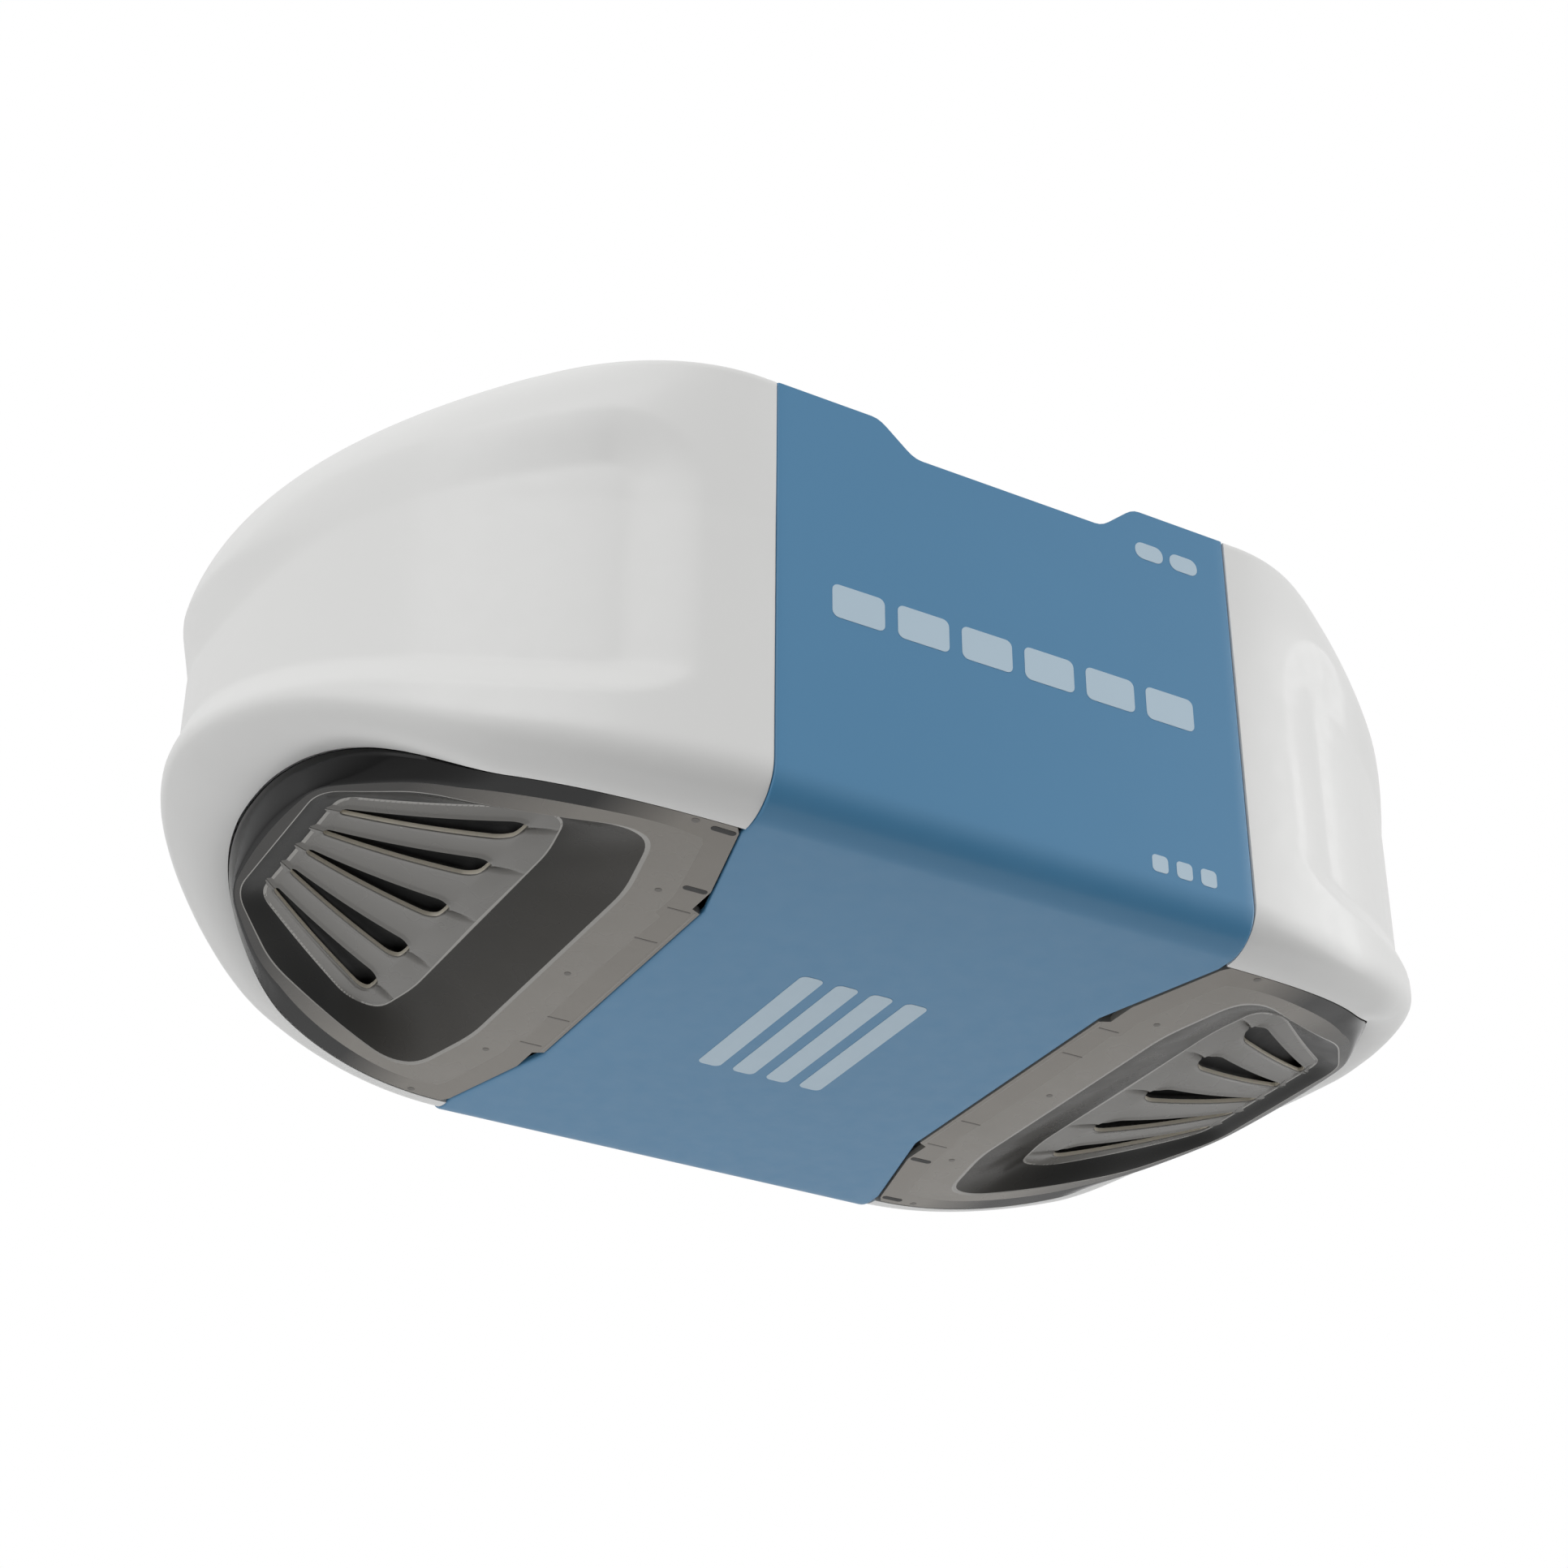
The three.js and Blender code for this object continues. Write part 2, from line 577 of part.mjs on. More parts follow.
// A louvre slot: wide and round towards the band, narrow at the outer tip.
function louvreSlot(innerY, tipY) {
  const [innerX, tipX] = LOUVRE_X;
  const [innerRadius, tipRadius] = LOUVRE_RADII;
  const heading = THREE.MathUtils.radToDeg(Math.atan2(tipY - innerY, tipX - innerX));
  return [
    ...arc(innerX, innerY, innerRadius, heading + 90, heading + 270, 6),
    ...arc(tipX, tipY, tipRadius, heading - 90, heading + 90, 3),
  ];
}

function lensGeometry() {
  const outline = lensOutline();
  const [cx, cy] = DISH_CENTRE;
  const angleTo = ([x, y]) => Math.atan2(y - cy, x - cx);
  const columns = LENS_COLUMNS;
  const angles = Array.from({ length: columns }, (_, i) => -Math.PI + 2 * Math.PI * (i + 0.5) / columns);
  for (const corner of outline.slice(-4)) {
    const target = angleTo(corner);
    const nearest = angles.reduce((best, angle, i) =>
      Math.abs(angle - target) < Math.abs(angles[best] - target) ? i : best, 0);
    angles[nearest] = target;
  }
  const ring = (reachOf, liftOf) => angles.map((angle) => {
    const reach = reachOf(angle);
    const x = cx + reach * Math.cos(angle);
    return [x, cy + reach * Math.sin(angle), undersideHeight(x) + liftOf(x)];
  });
  const floor = (angle) => rayReach(angle, DISH_FLOOR);
  const rim = (angle) => rayReach(angle, DISH_RIM);
  const edge = (angle) => rayReach(angle, outline);
  const flat = () => 0;
  const under = [
    ring(() => 0, dishLift),
    ring(floor, dishLift),
    ring(rim, flat),
    ring((angle) => Math.max(edge(angle) - LENS_EDGE_BAND, 0.5 * (rim(angle) + edge(angle))), flat),
    ring(edge, edgeLift),
  ];
  const over = under.map((points) => points.map(([x, y, z]) => [x, y, z + LENS_WALL]));
  const sheet = thickSheet(under, over, true);
  const bead = rodY(HINGE_X, BEAD_RADIUS, BEAD_RADIUS, [-WAIST_END + 2, WAIST_END - 2], 12);
  const [through, beyond] = [[-5, 10], WAIST_HALF_WIDTH - 5];
  const trim = block([beyond, HINGE_X], [-WAIST_END - 2, WAIST_END + 2], through);
  const reliefY = [WAIST_END - 2, WAIST_END + HINGE_RELIEF];
  const relief = [reliefY, reliefY.map((y) => -y).reverse()].map((y) =>
    block([beyond, HINGE_X + HINGE_RELIEF_DEPTH], y, through));
  const slots = LOUVRES.map(([innerY, tipY]) => prismZ(louvreSlot(innerY, tipY), [-5, 60]));
  const latchSlots = LATCH_SLOTS.map(([x, y]) =>
    block([beyond, x], [y - LATCH_SLOT_WIDTH / 2, y + LATCH_SLOT_WIDTH / 2], through));
  return cut(join(cut(sheet, trim, ...slots), bead), ...relief, ...latchSlots);
}

// Bar beside the chassis wall with two hooks that hold the lens's round edge from above.
function hingeBarGeometry() {
  const wall = [HINGE_X - BEAD_RADIUS, CHASSIS_HALF_WIDTH - CHASSIS_SHEET - GAP];
  const length = [-HINGE_BAR_HALF_LENGTH, HINGE_BAR_HALF_LENGTH];
  const bar = block(wall, length, [CHASSIS_WALL_FOOT + 2, CHASSIS_WALL_FOOT + 8]);
  const hookWidths = HOOK_Y.map((y) => [y - HOOK_HALF_WIDTH, y + HOOK_HALF_WIDTH]);
  const hooks = hookWidths.map((y) => block(wall, y, [HOOK_FOOT + 0.8, CHASSIS_WALL_FOOT + 3]));
  const inboardLip = hookWidths.map((y) => block([wall[0], HINGE_X], y, [HOOK_FOOT, HOOK_FOOT + 1.6]));
  const clearance = rodY(HINGE_X, BEAD_RADIUS, BEAD_RADIUS + 2 * GAP, [-60, 60], 16);
  return cut(join(bar, ...hooks, ...inboardLip), clearance);
}

// ---------------------------------------------------------------- chassis

function chassisGeometry() {
  const half = CHASSIS_HALF_WIDTH;
  const y = [-CHASSIS_HALF_DEPTH, CHASSIS_HALF_DEPTH];
  const inner = half - CHASSIS_SHEET;
  const outline = [
    [-half, CHASSIS_WALL_FOOT],
    [-half, CHASSIS_TOP],
    [half, CHASSIS_TOP],
    [half, CHASSIS_WALL_FOOT],
    [inner, CHASSIS_WALL_FOOT],
    [inner, CHASSIS_TOP - CHASSIS_SHEET],
    [-inner, CHASSIS_TOP - CHASSIS_SHEET],
    [-inner, CHASSIS_WALL_FOOT],
  ];
  const plate = [CHASSIS_TOP - 5, CHASSIS_TOP + 5];
  const shaftHole = rodZ(0, SHAFT_Y, BUSHING_RADIUS + GAP, plate, 32);
  const glandHole = rodZ(GLAND_X, GLAND_Y, GLAND_NECK + GAP, plate);
  const socketHole = rodX(0, SOCKET_Z, 15, [-100, 100]);
  const cornerHeight = [0, CHASSIS_WALL_FOOT + 4];
  const corners = [[-120, -60], [60, 120]].flatMap((x) => [
    block(x, [-DEPTH, -BEND_CLEARANCE], cornerHeight),
    block(x, [BEND_CLEARANCE, DEPTH], cornerHeight),
  ]);
  const boltHoles = [
    ...HANGER_SCREWS.map(([x, sy]) => rodZ(x, sy, HANGER_SCREW.shank + GAP, plate, 16)),
    ...RAIL_BOLTS.map(([x, sy]) => rodZ(x, sy, RAIL_BOLT.shank + GAP, plate, 16)),
  ];
  return cut(prismY(outline, y), shaftHole, glandHole, socketHole, ...corners, ...boltHoles);
}

function hangingFlangeGeometry() {
  const foot = CHASSIS_TOP + GAP;
  const outline = [
    [FLANGE_X - FLANGE_FOOT_WIDTH, foot],
    [FLANGE_X, foot],
    [FLANGE_X, foot + FLANGE_HEIGHT],
    [FLANGE_X - FLANGE_SHEET, foot + FLANGE_HEIGHT],
    [FLANGE_X - FLANGE_SHEET, foot + FLANGE_SHEET],
    [FLANGE_X - FLANGE_FOOT_WIDTH, foot + FLANGE_SHEET],
  ];
  const boltHoles = FLANGE_HOLES_Y.map((y) =>
    rodX(y, foot + FLANGE_HOLE_RISE, FLANGE_HOLE_RADIUS, [FLANGE_X - 10, FLANGE_X + 10]));
  const screwHoles = HANGER_SCREWS.filter(([x]) => x > 0)
    .map(([x, y]) => rodZ(x, y, HANGER_SCREW.shank + GAP, [foot - 5, foot + 10], 16));
  const length = [-FLANGE_HALF_LENGTH, FLANGE_HALF_LENGTH];
  return cut(prismY(outline, length), ...boltHoles, ...screwHoles);
}

// Hexagon-headed screw standing in its hole, head up.
function hexScrewGeometry(x, y, seat, { shank, headWidth, length }) {
  const head = rodZ(x, y, headWidth / Math.sqrt(3), [seat, seat + HEAD_HEIGHT], 6);
  const washer = rodZ(x, y, headWidth * WASHER_PART, [seat, seat + WASHER_HEIGHT], 20);
  return join(head, washer, rodZ(x, y, shank, [seat - length, seat + 1], 16));
}

function railBracketGeometry() {
  const foot = CHASSIS_TOP + GAP;
  const half = BRACKET_HALF_WIDTH;
  const inner = half - BRACKET_SHEET;
  const outline = [
    [-half, foot],
    [half, foot],
    [half, foot + BRACKET_HEIGHT],
    [inner, foot + BRACKET_HEIGHT],
    [inner, foot + BRACKET_SHEET],
    [-inner, foot + BRACKET_SHEET],
    [-inner, foot + BRACKET_HEIGHT],
    [-half, foot + BRACKET_HEIGHT],
  ];
  const holes = RAIL_BOLTS.map(([x, y]) => rodZ(x, y, RAIL_BOLT.shank + GAP, [foot - 5, foot + 10], 16));
  const pin = rodX(RAIL_PIN_Y, foot + RAIL_PIN_RISE, RAIL_PIN_RADIUS, [-2 * half, 2 * half], 16);
  return cut(prismY(outline, RAIL_BRACKET_Y), pin, ...holes);
}

// Ring that lines the power cord's hole in the top plate.
function cordGlandGeometry() {
  const foot = CHASSIS_TOP + GAP;
  const below = CHASSIS_TOP - CHASSIS_SHEET - GAP - 2;
  return turned([
    [4.2, below],
    [GLAND_NECK, below],
    [GLAND_NECK, foot],
    [11, foot],
    [11, foot + 1.5],
    [8.5, foot + 4],
    [4.2, foot + 4],
    [4.2, below],
  ], 16).translate(GLAND_X, GLAND_Y, 0);
}

// ---------------------------------------------------------------- lamp sockets

function lampSocketGeometry() {
  const start = CHASSIS_HALF_WIDTH + GAP + SOCKET_SHEET + GAP;
  const turnedSocket = turned([
    [0, 0],
    [19, 0],
    [19, 6],
    [16.5, 10],
    [16.5, 38],
    [14.5, 38],
    [14.5, 9],
    [0, 9],
  ], 24);
  return turnedSocket.rotateY(Math.PI / 2).translate(start, 0, SOCKET_Z);
}

function socketBracketGeometry() {
  const start = CHASSIS_HALF_WIDTH + GAP;
  const [halfY, halfZ] = SOCKET_PLATE_HALF;
  const plate = block([start, start + SOCKET_SHEET], [-halfY, halfY], [SOCKET_Z - halfZ, SOCKET_Z + halfZ]);
  return cut(plate, rodX(0, SOCKET_Z, SOCKET_HOLE_RADIUS, [start - 5, start + 5]));
}

// ---------------------------------------------------------------- motor

const motorAxis = (geometry) => geometry.rotateX(-Math.PI / 2).translate(WORM_X, 0, DRIVE_Z);

// A piece turned about the motor axis: the profile is a list of (radius, y).
const turnedOnMotor = (profile, sides = 32) => closed(motorAxis(turned(profile, sides)));

function motorCanGeometry() {
  const [back, front] = MOTOR_Y;
  return turnedOnMotor([
    [9, front],
    [9, front - CAN_SHEET],
    [MOTOR_RADIUS - CAN_SHEET, front - CAN_SHEET],
    [MOTOR_RADIUS - CAN_SHEET, back],
    [MOTOR_RADIUS, back],
    [MOTOR_RADIUS, front - 5],
    [MOTOR_RADIUS - 5, front],
    [9, front],
  ], 28);
}

function motorEndCapGeometry() {
  const back = MOTOR_Y[0] - GAP;
  return turnedOnMotor([
    [7, back],
    [MOTOR_RADIUS, back],
    [MOTOR_RADIUS, back - 5],
    [MOTOR_RADIUS - 6, back - CAP_LENGTH],
    [NOSE_RADIUS, back - CAP_LENGTH],
    [NOSE_RADIUS, back - CAP_LENGTH - NOSE_LENGTH],
    [7, back - CAP_LENGTH - NOSE_LENGTH],
    [7, back],
  ], 28);
}

function isolatorGeometry(y) {
  const [inner, outer] = ISOLATOR_RADII;
  return turnedOnMotor([
    [inner, y[0]],
    [outer, y[0]],
    [outer, y[1]],
    [inner, y[1]],
    [inner, y[0]],
  ], 24);
}

// Hanger plate between the top plate and the motor, with a hole for the shaft.
function motorHangerGeometry(y) {
  const top = CHASSIS_TOP - CHASSIS_SHEET - GAP;
  const [half, chin] = [HANGER_HALF_WIDTH, HANGER_HALF_WIDTH - HANGER_CORNER];
  const outline = [
    [WORM_X - half, DRIVE_Z - chin],
    [WORM_X - chin, DRIVE_Z - half],
    [WORM_X + chin, DRIVE_Z - half],
    [WORM_X + half, DRIVE_Z - chin],
    [WORM_X + half, top],
    [WORM_X - half, top],
  ];
  const [footLength, footSheet] = HANGER_FOOT;
  const foot = block([WORM_X - half, WORM_X + half], [y[0] - footLength, y[1]], [top - footSheet, top]);
  const shaftHole = rodY(WORM_X, DRIVE_Z, ISOLATOR_RADII[0], [y[0] - 5, y[1] + 5]);
  return cut(join(prismY(outline, y), foot), shaftHole);
}

function motorShaftGeometry() {
  return rodY(WORM_X, DRIVE_Z, SHAFT_RADIUS, MOTOR_SHAFT_Y, 20);
}

// Single-start worm with a trapezoidal thread, cut as one helical sweep round a core.
function wormGeometry() {
  const lead = Math.PI * GEAR_MODULE;
  const root = WORM_PITCH_RADIUS - 1.25 * GEAR_MODULE;
  const crest = WORM_PITCH_RADIUS + 0.9 * GEAR_MODULE;
  const [rootHalf, crestHalf] = [0.34 * lead, 0.12 * lead];
  const perTurn = 16;
  const steps = WORM_TURNS * perTurn;
  const ring = (i) => {
    const angle = 2 * Math.PI * i / perTurn;
    const along = lead * (i / perTurn - WORM_TURNS / 2);
    const section = [
      [root - 0.5, -rootHalf],
      [root, -rootHalf],
      [crest, -crestHalf],
      [crest, crestHalf],
      [root, rootHalf],
      [root - 0.5, rootHalf],
    ];
    return section.map(([radius, offset]) =>
      [radius * Math.cos(angle), along + offset, radius * Math.sin(angle)]);
  };
  const rings = Array.from({ length: steps + 1 }, (_, i) => ring(i));
  const thread = sweep(rings);
  const core = new THREE.CylinderGeometry(root, root, WORM_LENGTH, perTurn);
  const bore = new THREE.CylinderGeometry(SHAFT_RADIUS + GAP, SHAFT_RADIUS + GAP, WORM_LENGTH + 4, perTurn);
  return cut(join(core, thread), bore).translate(WORM_X, SHAFT_Y, DRIVE_Z);
}

// A closed body through rings of points, with flat ends.
function sweep(rings) {
  const count = rings[0].length;
  const index = [];
  for (let r = 0; r < rings.length - 1; r += 1) {
    for (let c = 0; c < count; c += 1) {
      const next = (c + 1) % count;
      const [a, b, d, e] = [r * count + c, r * count + next, (r + 1) * count + c, (r + 1) * count + next];
      index.push(a, b, e, a, e, d);
    }
  }
  const last = (rings.length - 1) * count;
  for (let c = 1; c < count - 1; c += 1) {
    index.push(0, c + 1, c, last, last + c, last + c + 1);
  }
  const geometry = new THREE.BufferGeometry();
  geometry.setAttribute('position', new THREE.Float32BufferAttribute(rings.flat(2), 3));
  geometry.setIndex(index);
  return closed(geometry);
}

// Slotted disc on the tail of the motor shaft, read by the speed sensor.
function speedWheelGeometry() {
  const y = SPEED_WHEEL_Y;
  const disc = rodY(WORM_X, DRIVE_Z, 17, y, 30);
  const hub = rodY(WORM_X, DRIVE_Z, 7, [y[0], y[1] + 3], 24);
  const bore = rodY(WORM_X, DRIVE_Z, SHAFT_RADIUS + GAP, [y[0] - 2, y[1] + 6], 20);
  const slots = Array.from({ length: 5 }, (_, i) =>
    block([-2.5, 2.5], [y[0] - 2, y[1] + 2], [11, 20])
      .rotateY(2 * Math.PI * i / 5)
      .translate(WORM_X, 0, DRIVE_Z));
  return cut(join(disc, hub), bore, ...slots);
}

// Fork around the disc's rim, on a small board that stands off the motor hanger.
function speedSensorGeometry() {
  const [front, back] = [SPEED_WHEEL_Y[0], SPEED_WHEEL_Y[1]];
  const x = [WORM_X - 28, WORM_X - 12];
  const fork = block(x, [front - 3, back + 3], [DRIVE_Z - 6, DRIVE_Z + 6]);
  const throat = block([WORM_X - 19, WORM_X], [front - 0.8, back + 0.8], [DRIVE_Z - 8, DRIVE_Z + 8]);
  const boardY = [HANGER_FRONT_Y[1] + GAP, front - 2];
  const board = block([WORM_X - 28, WORM_X - 20], boardY, [DRIVE_Z - 6, DRIVE_Z + 6]);
  return join(cut(fork, throat), board);
}

// ---------------------------------------------------------------- gearbox and output

function wormWheelGeometry() {
  const pitch = GEAR_MODULE * WHEEL_TEETH / 2;
  const tip = pitch + 0.9 * GEAR_MODULE;
  const root = pitch - 1.2 * GEAR_MODULE;
  const toothAngle = 2 * Math.PI / WHEEL_TEETH;
  // half the tooth's width at each radius, as a part of the tooth spacing
  const flank = [[root, 0.3], [pitch, 0.2], [tip, 0.1]];
  const outline = Array.from({ length: WHEEL_TEETH }, (_, tooth) => [
    ...flank.map(([radius, part]) => [radius, (tooth - part) * toothAngle]),
    ...flank.toReversed().map(([radius, part]) => [radius, (tooth + part) * toothAngle]),
  ]).flat().map(([radius, angle]) => [radius * Math.cos(angle), radius * Math.sin(angle)]);
  const blank = prismZ(outline, [-WHEEL_WIDTH / 2, WHEEL_WIDTH / 2]);
  // the teeth slant by the worm's lead angle, so the blank is twisted along Z
  const lead = Math.PI * GEAR_MODULE;
  const twistPerMm = -lead / (2 * Math.PI * WORM_PITCH_RADIUS) / pitch;
  const position = blank.attributes.position;
  const point = new THREE.Vector3();
  const up = new THREE.Vector3(0, 0, 1);
  for (let i = 0; i < position.count; i += 1) {
    point.fromBufferAttribute(position, i);
    point.applyAxisAngle(up, twistPerMm * point.z);
    position.setXYZ(i, point.x, point.y, point.z);
  }
  const bore = rodZ(0, 0, OUTPUT_RADIUS + GAP, [-WHEEL_WIDTH, WHEEL_WIDTH], 24);
  return cut(blank, bore).translate(0, SHAFT_Y, DRIVE_Z);
}

function outputShaftGeometry() {
  return rodZ(0, SHAFT_Y, OUTPUT_RADIUS, OUTPUT_SHAFT_Z, 24);
}

function sprocketGeometry() {
  const pitch = SPROCKET_TEETH * BELT_PITCH / (2 * Math.PI);
  const toothAngle = 2 * Math.PI / SPROCKET_TEETH;
  const [root, tip] = [pitch - 3.5, pitch - 0.6];
  const tooth = [[root, -0.32], [tip, -0.2], [tip, 0.2], [root, 0.32]];
  const outline = Array.from({ length: SPROCKET_TEETH }, (_, i) => tooth.map(([radius, part]) => {
    const angle = (i + part) * toothAngle;
    return [radius * Math.cos(angle), radius * Math.sin(angle)];
  })).flat();
  const [low, high] = SPROCKET_Z;
  const flange = (z) => rodZ(0, 0, pitch + 2, z, 32);
  const teeth = prismZ(outline, [low, high]);
  const body = join(teeth, flange([low, low + 1.6]), flange([high - 1.6, high]));
  const bore = rodZ(0, 0, OUTPUT_RADIUS + GAP, [low - 5, high + 5], 24);
  return cut(body, bore).translate(0, SHAFT_Y, 0);
}

function gearHousingGeometry() {
  const [low, high] = HOUSING_Z;
  const body = block(HOUSING_X, [SHAFT_Y - HOUSING_HALF_DEPTH, SHAFT_Y + HOUSING_HALF_DEPTH], [low, high]);
  const wheelRoom = rodZ(0, SHAFT_Y, WHEEL_ROOM_RADIUS, [low + 4, high + 5], 40);
  const wormY = [SHAFT_Y - WORM_ROOM_HALF_LENGTH, SHAFT_Y + WORM_ROOM_HALF_LENGTH];
  const wormRoom = rodY(WORM_X, DRIVE_Z, WORM_ROOM_RADIUS, wormY, 24);
  const wormX = [WORM_X - WORM_ROOM_RADIUS, WORM_X + WORM_ROOM_RADIUS];
  const wormSlot = block(wormX, wormY, [DRIVE_Z, high + 5]);
  const wormBore = rodY(WORM_X, DRIVE_Z, SHAFT_RADIUS + GAP, [SHAFT_Y - 50, SHAFT_Y + 50], 20);
  const shaftPocket = rodZ(0, SHAFT_Y, OUTPUT_RADIUS + GAP, [low - 5, low + 10], 24);
  return cut(body, wheelRoom, wormRoom, wormSlot, wormBore, shaftPocket);
}

function gearHousingLidGeometry() {
  const low = HOUSING_Z[1] + GAP;
  const top = CHASSIS_TOP - CHASSIS_SHEET - GAP;
  const y = [SHAFT_Y - HOUSING_HALF_DEPTH, SHAFT_Y + HOUSING_HALF_DEPTH];
  const lid = block(HOUSING_X, y, [low, low + LID_SHEET]);
  const inset = LID_POST_INSET;
  const posts = [HOUSING_X[0] + inset, HOUSING_X[1] - inset].flatMap((px) =>
    [y[0] + inset, y[1] - inset].map((py) => rodZ(px, py, 5, [low + LID_SHEET - 1, top], 16)));
  const collar = rodZ(0, SHAFT_Y, 14, [low, low + 10], 32);
  const hole = rodZ(0, SHAFT_Y, OUTPUT_RADIUS + GAP, [low - 5, low + 15], 24);
  return cut(join(lid, collar, ...posts), hole);
}

// Flanged bush in the top plate that steadies the output shaft.
function shaftBushingGeometry() {
  const below = CHASSIS_TOP - CHASSIS_SHEET - GAP - 4;
  const foot = CHASSIS_TOP + GAP;
  const bore = OUTPUT_RADIUS + GAP;
  return turned([
    [bore, below],
    [BUSHING_RADIUS, below],
    [BUSHING_RADIUS, foot],
    [BUSHING_RADIUS + 5, foot],
    [BUSHING_RADIUS + 5, foot + 1.8],
    [bore, foot + 1.8],
    [bore, below],
  ], 24).translate(0, SHAFT_Y, 0);
}

// Shroud over the sprocket: round behind, open towards the rail.
function sprocketCoverGeometry() {
  const foot = CHASSIS_TOP + GAP;
  const sheet = 2;
  const outline = (radius, open) => [
    ...arc(0, SHAFT_Y, radius, 180, 360, 14),
    [radius, SHAFT_Y + open],
    [-radius, SHAFT_Y + open],
  ];
  const top = foot + SPROCKET_COVER_HEIGHT;
  const shell = prismZ(outline(SHROUD_RADIUS, SHROUD_OPEN), [foot, top]);
  const room = prismZ(outline(SHROUD_RADIUS - sheet, SHROUD_OPEN + 2 * sheet), [foot - 1, top - sheet]);
  return cut(shell, room);
}

// ---------------------------------------------------------------- electrics

function transformerCoreGeometry() {
  const top = CHASSIS_TOP - CHASSIS_SHEET - GAP;
  const body = block(CORE_X, CORE_Y, [top - CORE_HEIGHT, top]);
  const [shallow, deep] = CORE_WINDOW_DEPTH;
  const through = [CORE_Y[0] - 5, CORE_Y[1] + 5];
  const windows = CORE_WINDOWS.map((x) => block(x, through, [top - deep, top - shallow]));
  return cut(body, ...windows);
}

// Winding round the core's middle leg: two bundles through the windows, joined at both ends.
function transformerCoilGeometry() {
  const top = CHASSIS_TOP - CHASSIS_SHEET - GAP;
  const [shallow, deep] = CORE_WINDOW_DEPTH;
  const z = [top - deep + 0.5, top - shallow - 0.5];
  const bundles = CORE_WINDOWS.map(([left, right]) =>
    block([left + 0.6, right - 0.6], [CORE_Y[0] - 2, CORE_Y[1] + 2], z));
  const across = [CORE_WINDOWS[0][0] + 0.6, CORE_WINDOWS[1][1] - 0.6];
  const ends = [
    block(across, [CORE_Y[0] - COIL_OVERHANG, CORE_Y[0] - 2 * GAP], z),
    block(across, [CORE_Y[1] + 2 * GAP, CORE_Y[1] + COIL_OVERHANG], z),
  ];
  return join(...bundles, ...ends);
}

function capacitorGeometry() {
  const [radius, half] = [CAPACITOR_RADIUS, CAPACITOR_HALF_LENGTH];
  return turned([
    [0, -half],
    [radius - 1, -half],
    [radius, -half + 1],
    [radius, half - 2],
    [radius - 2, half],
    [0, half],
  ], 28).rotateX(Math.PI / 2).translate(CAPACITOR_X, CAPACITOR_Y, CAPACITOR_Z);
}

function capacitorClipGeometry() {
  const top = CHASSIS_TOP - CHASSIS_SHEET - GAP;
  const y = [CAPACITOR_Y - 8, CAPACITOR_Y + 8];
  const inner = CAPACITOR_RADIUS + GAP;
  const band = rodY(CAPACITOR_X, CAPACITOR_Z, inner + CLIP_SHEET, y, 28);
  const tab = block([CAPACITOR_X - 12, CAPACITOR_X + 12], y, [CAPACITOR_Z + 12, top]);
  return cut(join(band, tab), rodY(CAPACITOR_X, CAPACITOR_Z, inner, [y[0] - 2, y[1] + 2], 28));
}

function logicBoardGeometry() {
  const x = -CHASSIS_HALF_WIDTH + CHASSIS_SHEET + GAP;
  const board = block([x + BOARD_STANDOFF, x + BOARD_STANDOFF + BOARD_SHEET], BOARD_Y, BOARD_Z);
  const posts = [BOARD_Y[0] + 6, BOARD_Y[1] - 6].flatMap((y) =>
    [BOARD_Z[0] + 10, BOARD_Z[1] - 6].map((z) => rodX(y, z, 3, [x, x + BOARD_STANDOFF + 0.5], 12)));
  return join(board, ...posts);
}

const BOARD_FACE = -CHASSIS_HALF_WIDTH + CHASSIS_SHEET + BOARD_STANDOFF + BOARD_SHEET + 2 * GAP;
const onBoard = (height, y, z) => block([BOARD_FACE, BOARD_FACE + height], y, z);

// ---------------------------------------------------------------- control panel

function controlPanelGeometry() {
  const x = [PANEL_LEFT - 4, PANEL_RIGHT + 4];
  const z = [PANEL_BOTTOM - 4, PANEL_TOP + 4];
  const flange = block(x, [PANEL_FACE - 3, PANEL_FACE], z);
  const armX = [-CHASSIS_HALF_WIDTH + CHASSIS_SHEET + GAP, PANEL_LEFT];
  const arm = block(armX, [PANEL_FACE - 18, PANEL_FACE - 1], [z[0], z[0] + 3]);
  const [halfX, halfZ] = BUTTON_HALF.map((half) => half + GAP);
  const buttonHoles = BUTTONS.map(({ x: bx, z: bz }) =>
    block([bx - halfX, bx + halfX], [PANEL_FACE - 10, PANEL_FACE + 5], [bz - halfZ, bz + halfZ]));
  const blockWindow = block(
    [TERMINAL_X[0] - GAP, TERMINAL_X[1] + GAP],
    [PANEL_FACE - 10, PANEL_FACE + 5],
    [TERMINAL_Z[0] - GAP, TERMINAL_Z[1] + GAP],
  );
  return cut(join(flange, arm), ...buttonHoles, blockWindow);
}

// A push button: a cap through the panel, with a collar behind it that keeps it in.
function buttonGeometry({ x, z }) {
  const section = (grown, y) => {
    const [halfX, halfZ] = BUTTON_HALF.map((half) => half + grown);
    return block([x - halfX, x + halfX], y, [z - halfZ, z + halfZ]);
  };
  const cap = section(0, [PANEL_FACE - 8, PANEL_FACE + 2.5]);
  const collar = section(BUTTON_COLLAR, [PANEL_FACE - 6, PANEL_FACE - 3 - GAP]);
  return join(cap, collar);
}

// The shape of a wire release tab, grown on every side for the slot that it slides in.
function tabBlock(x, grown, y) {
  const half = TAB_HALF_WIDTH + grown;
  const top = TERMINAL_Z[1] - TAB_TOP;
  return block([x - half, x + half], y, [top - TAB_HEIGHT - grown, top + grown]);
}

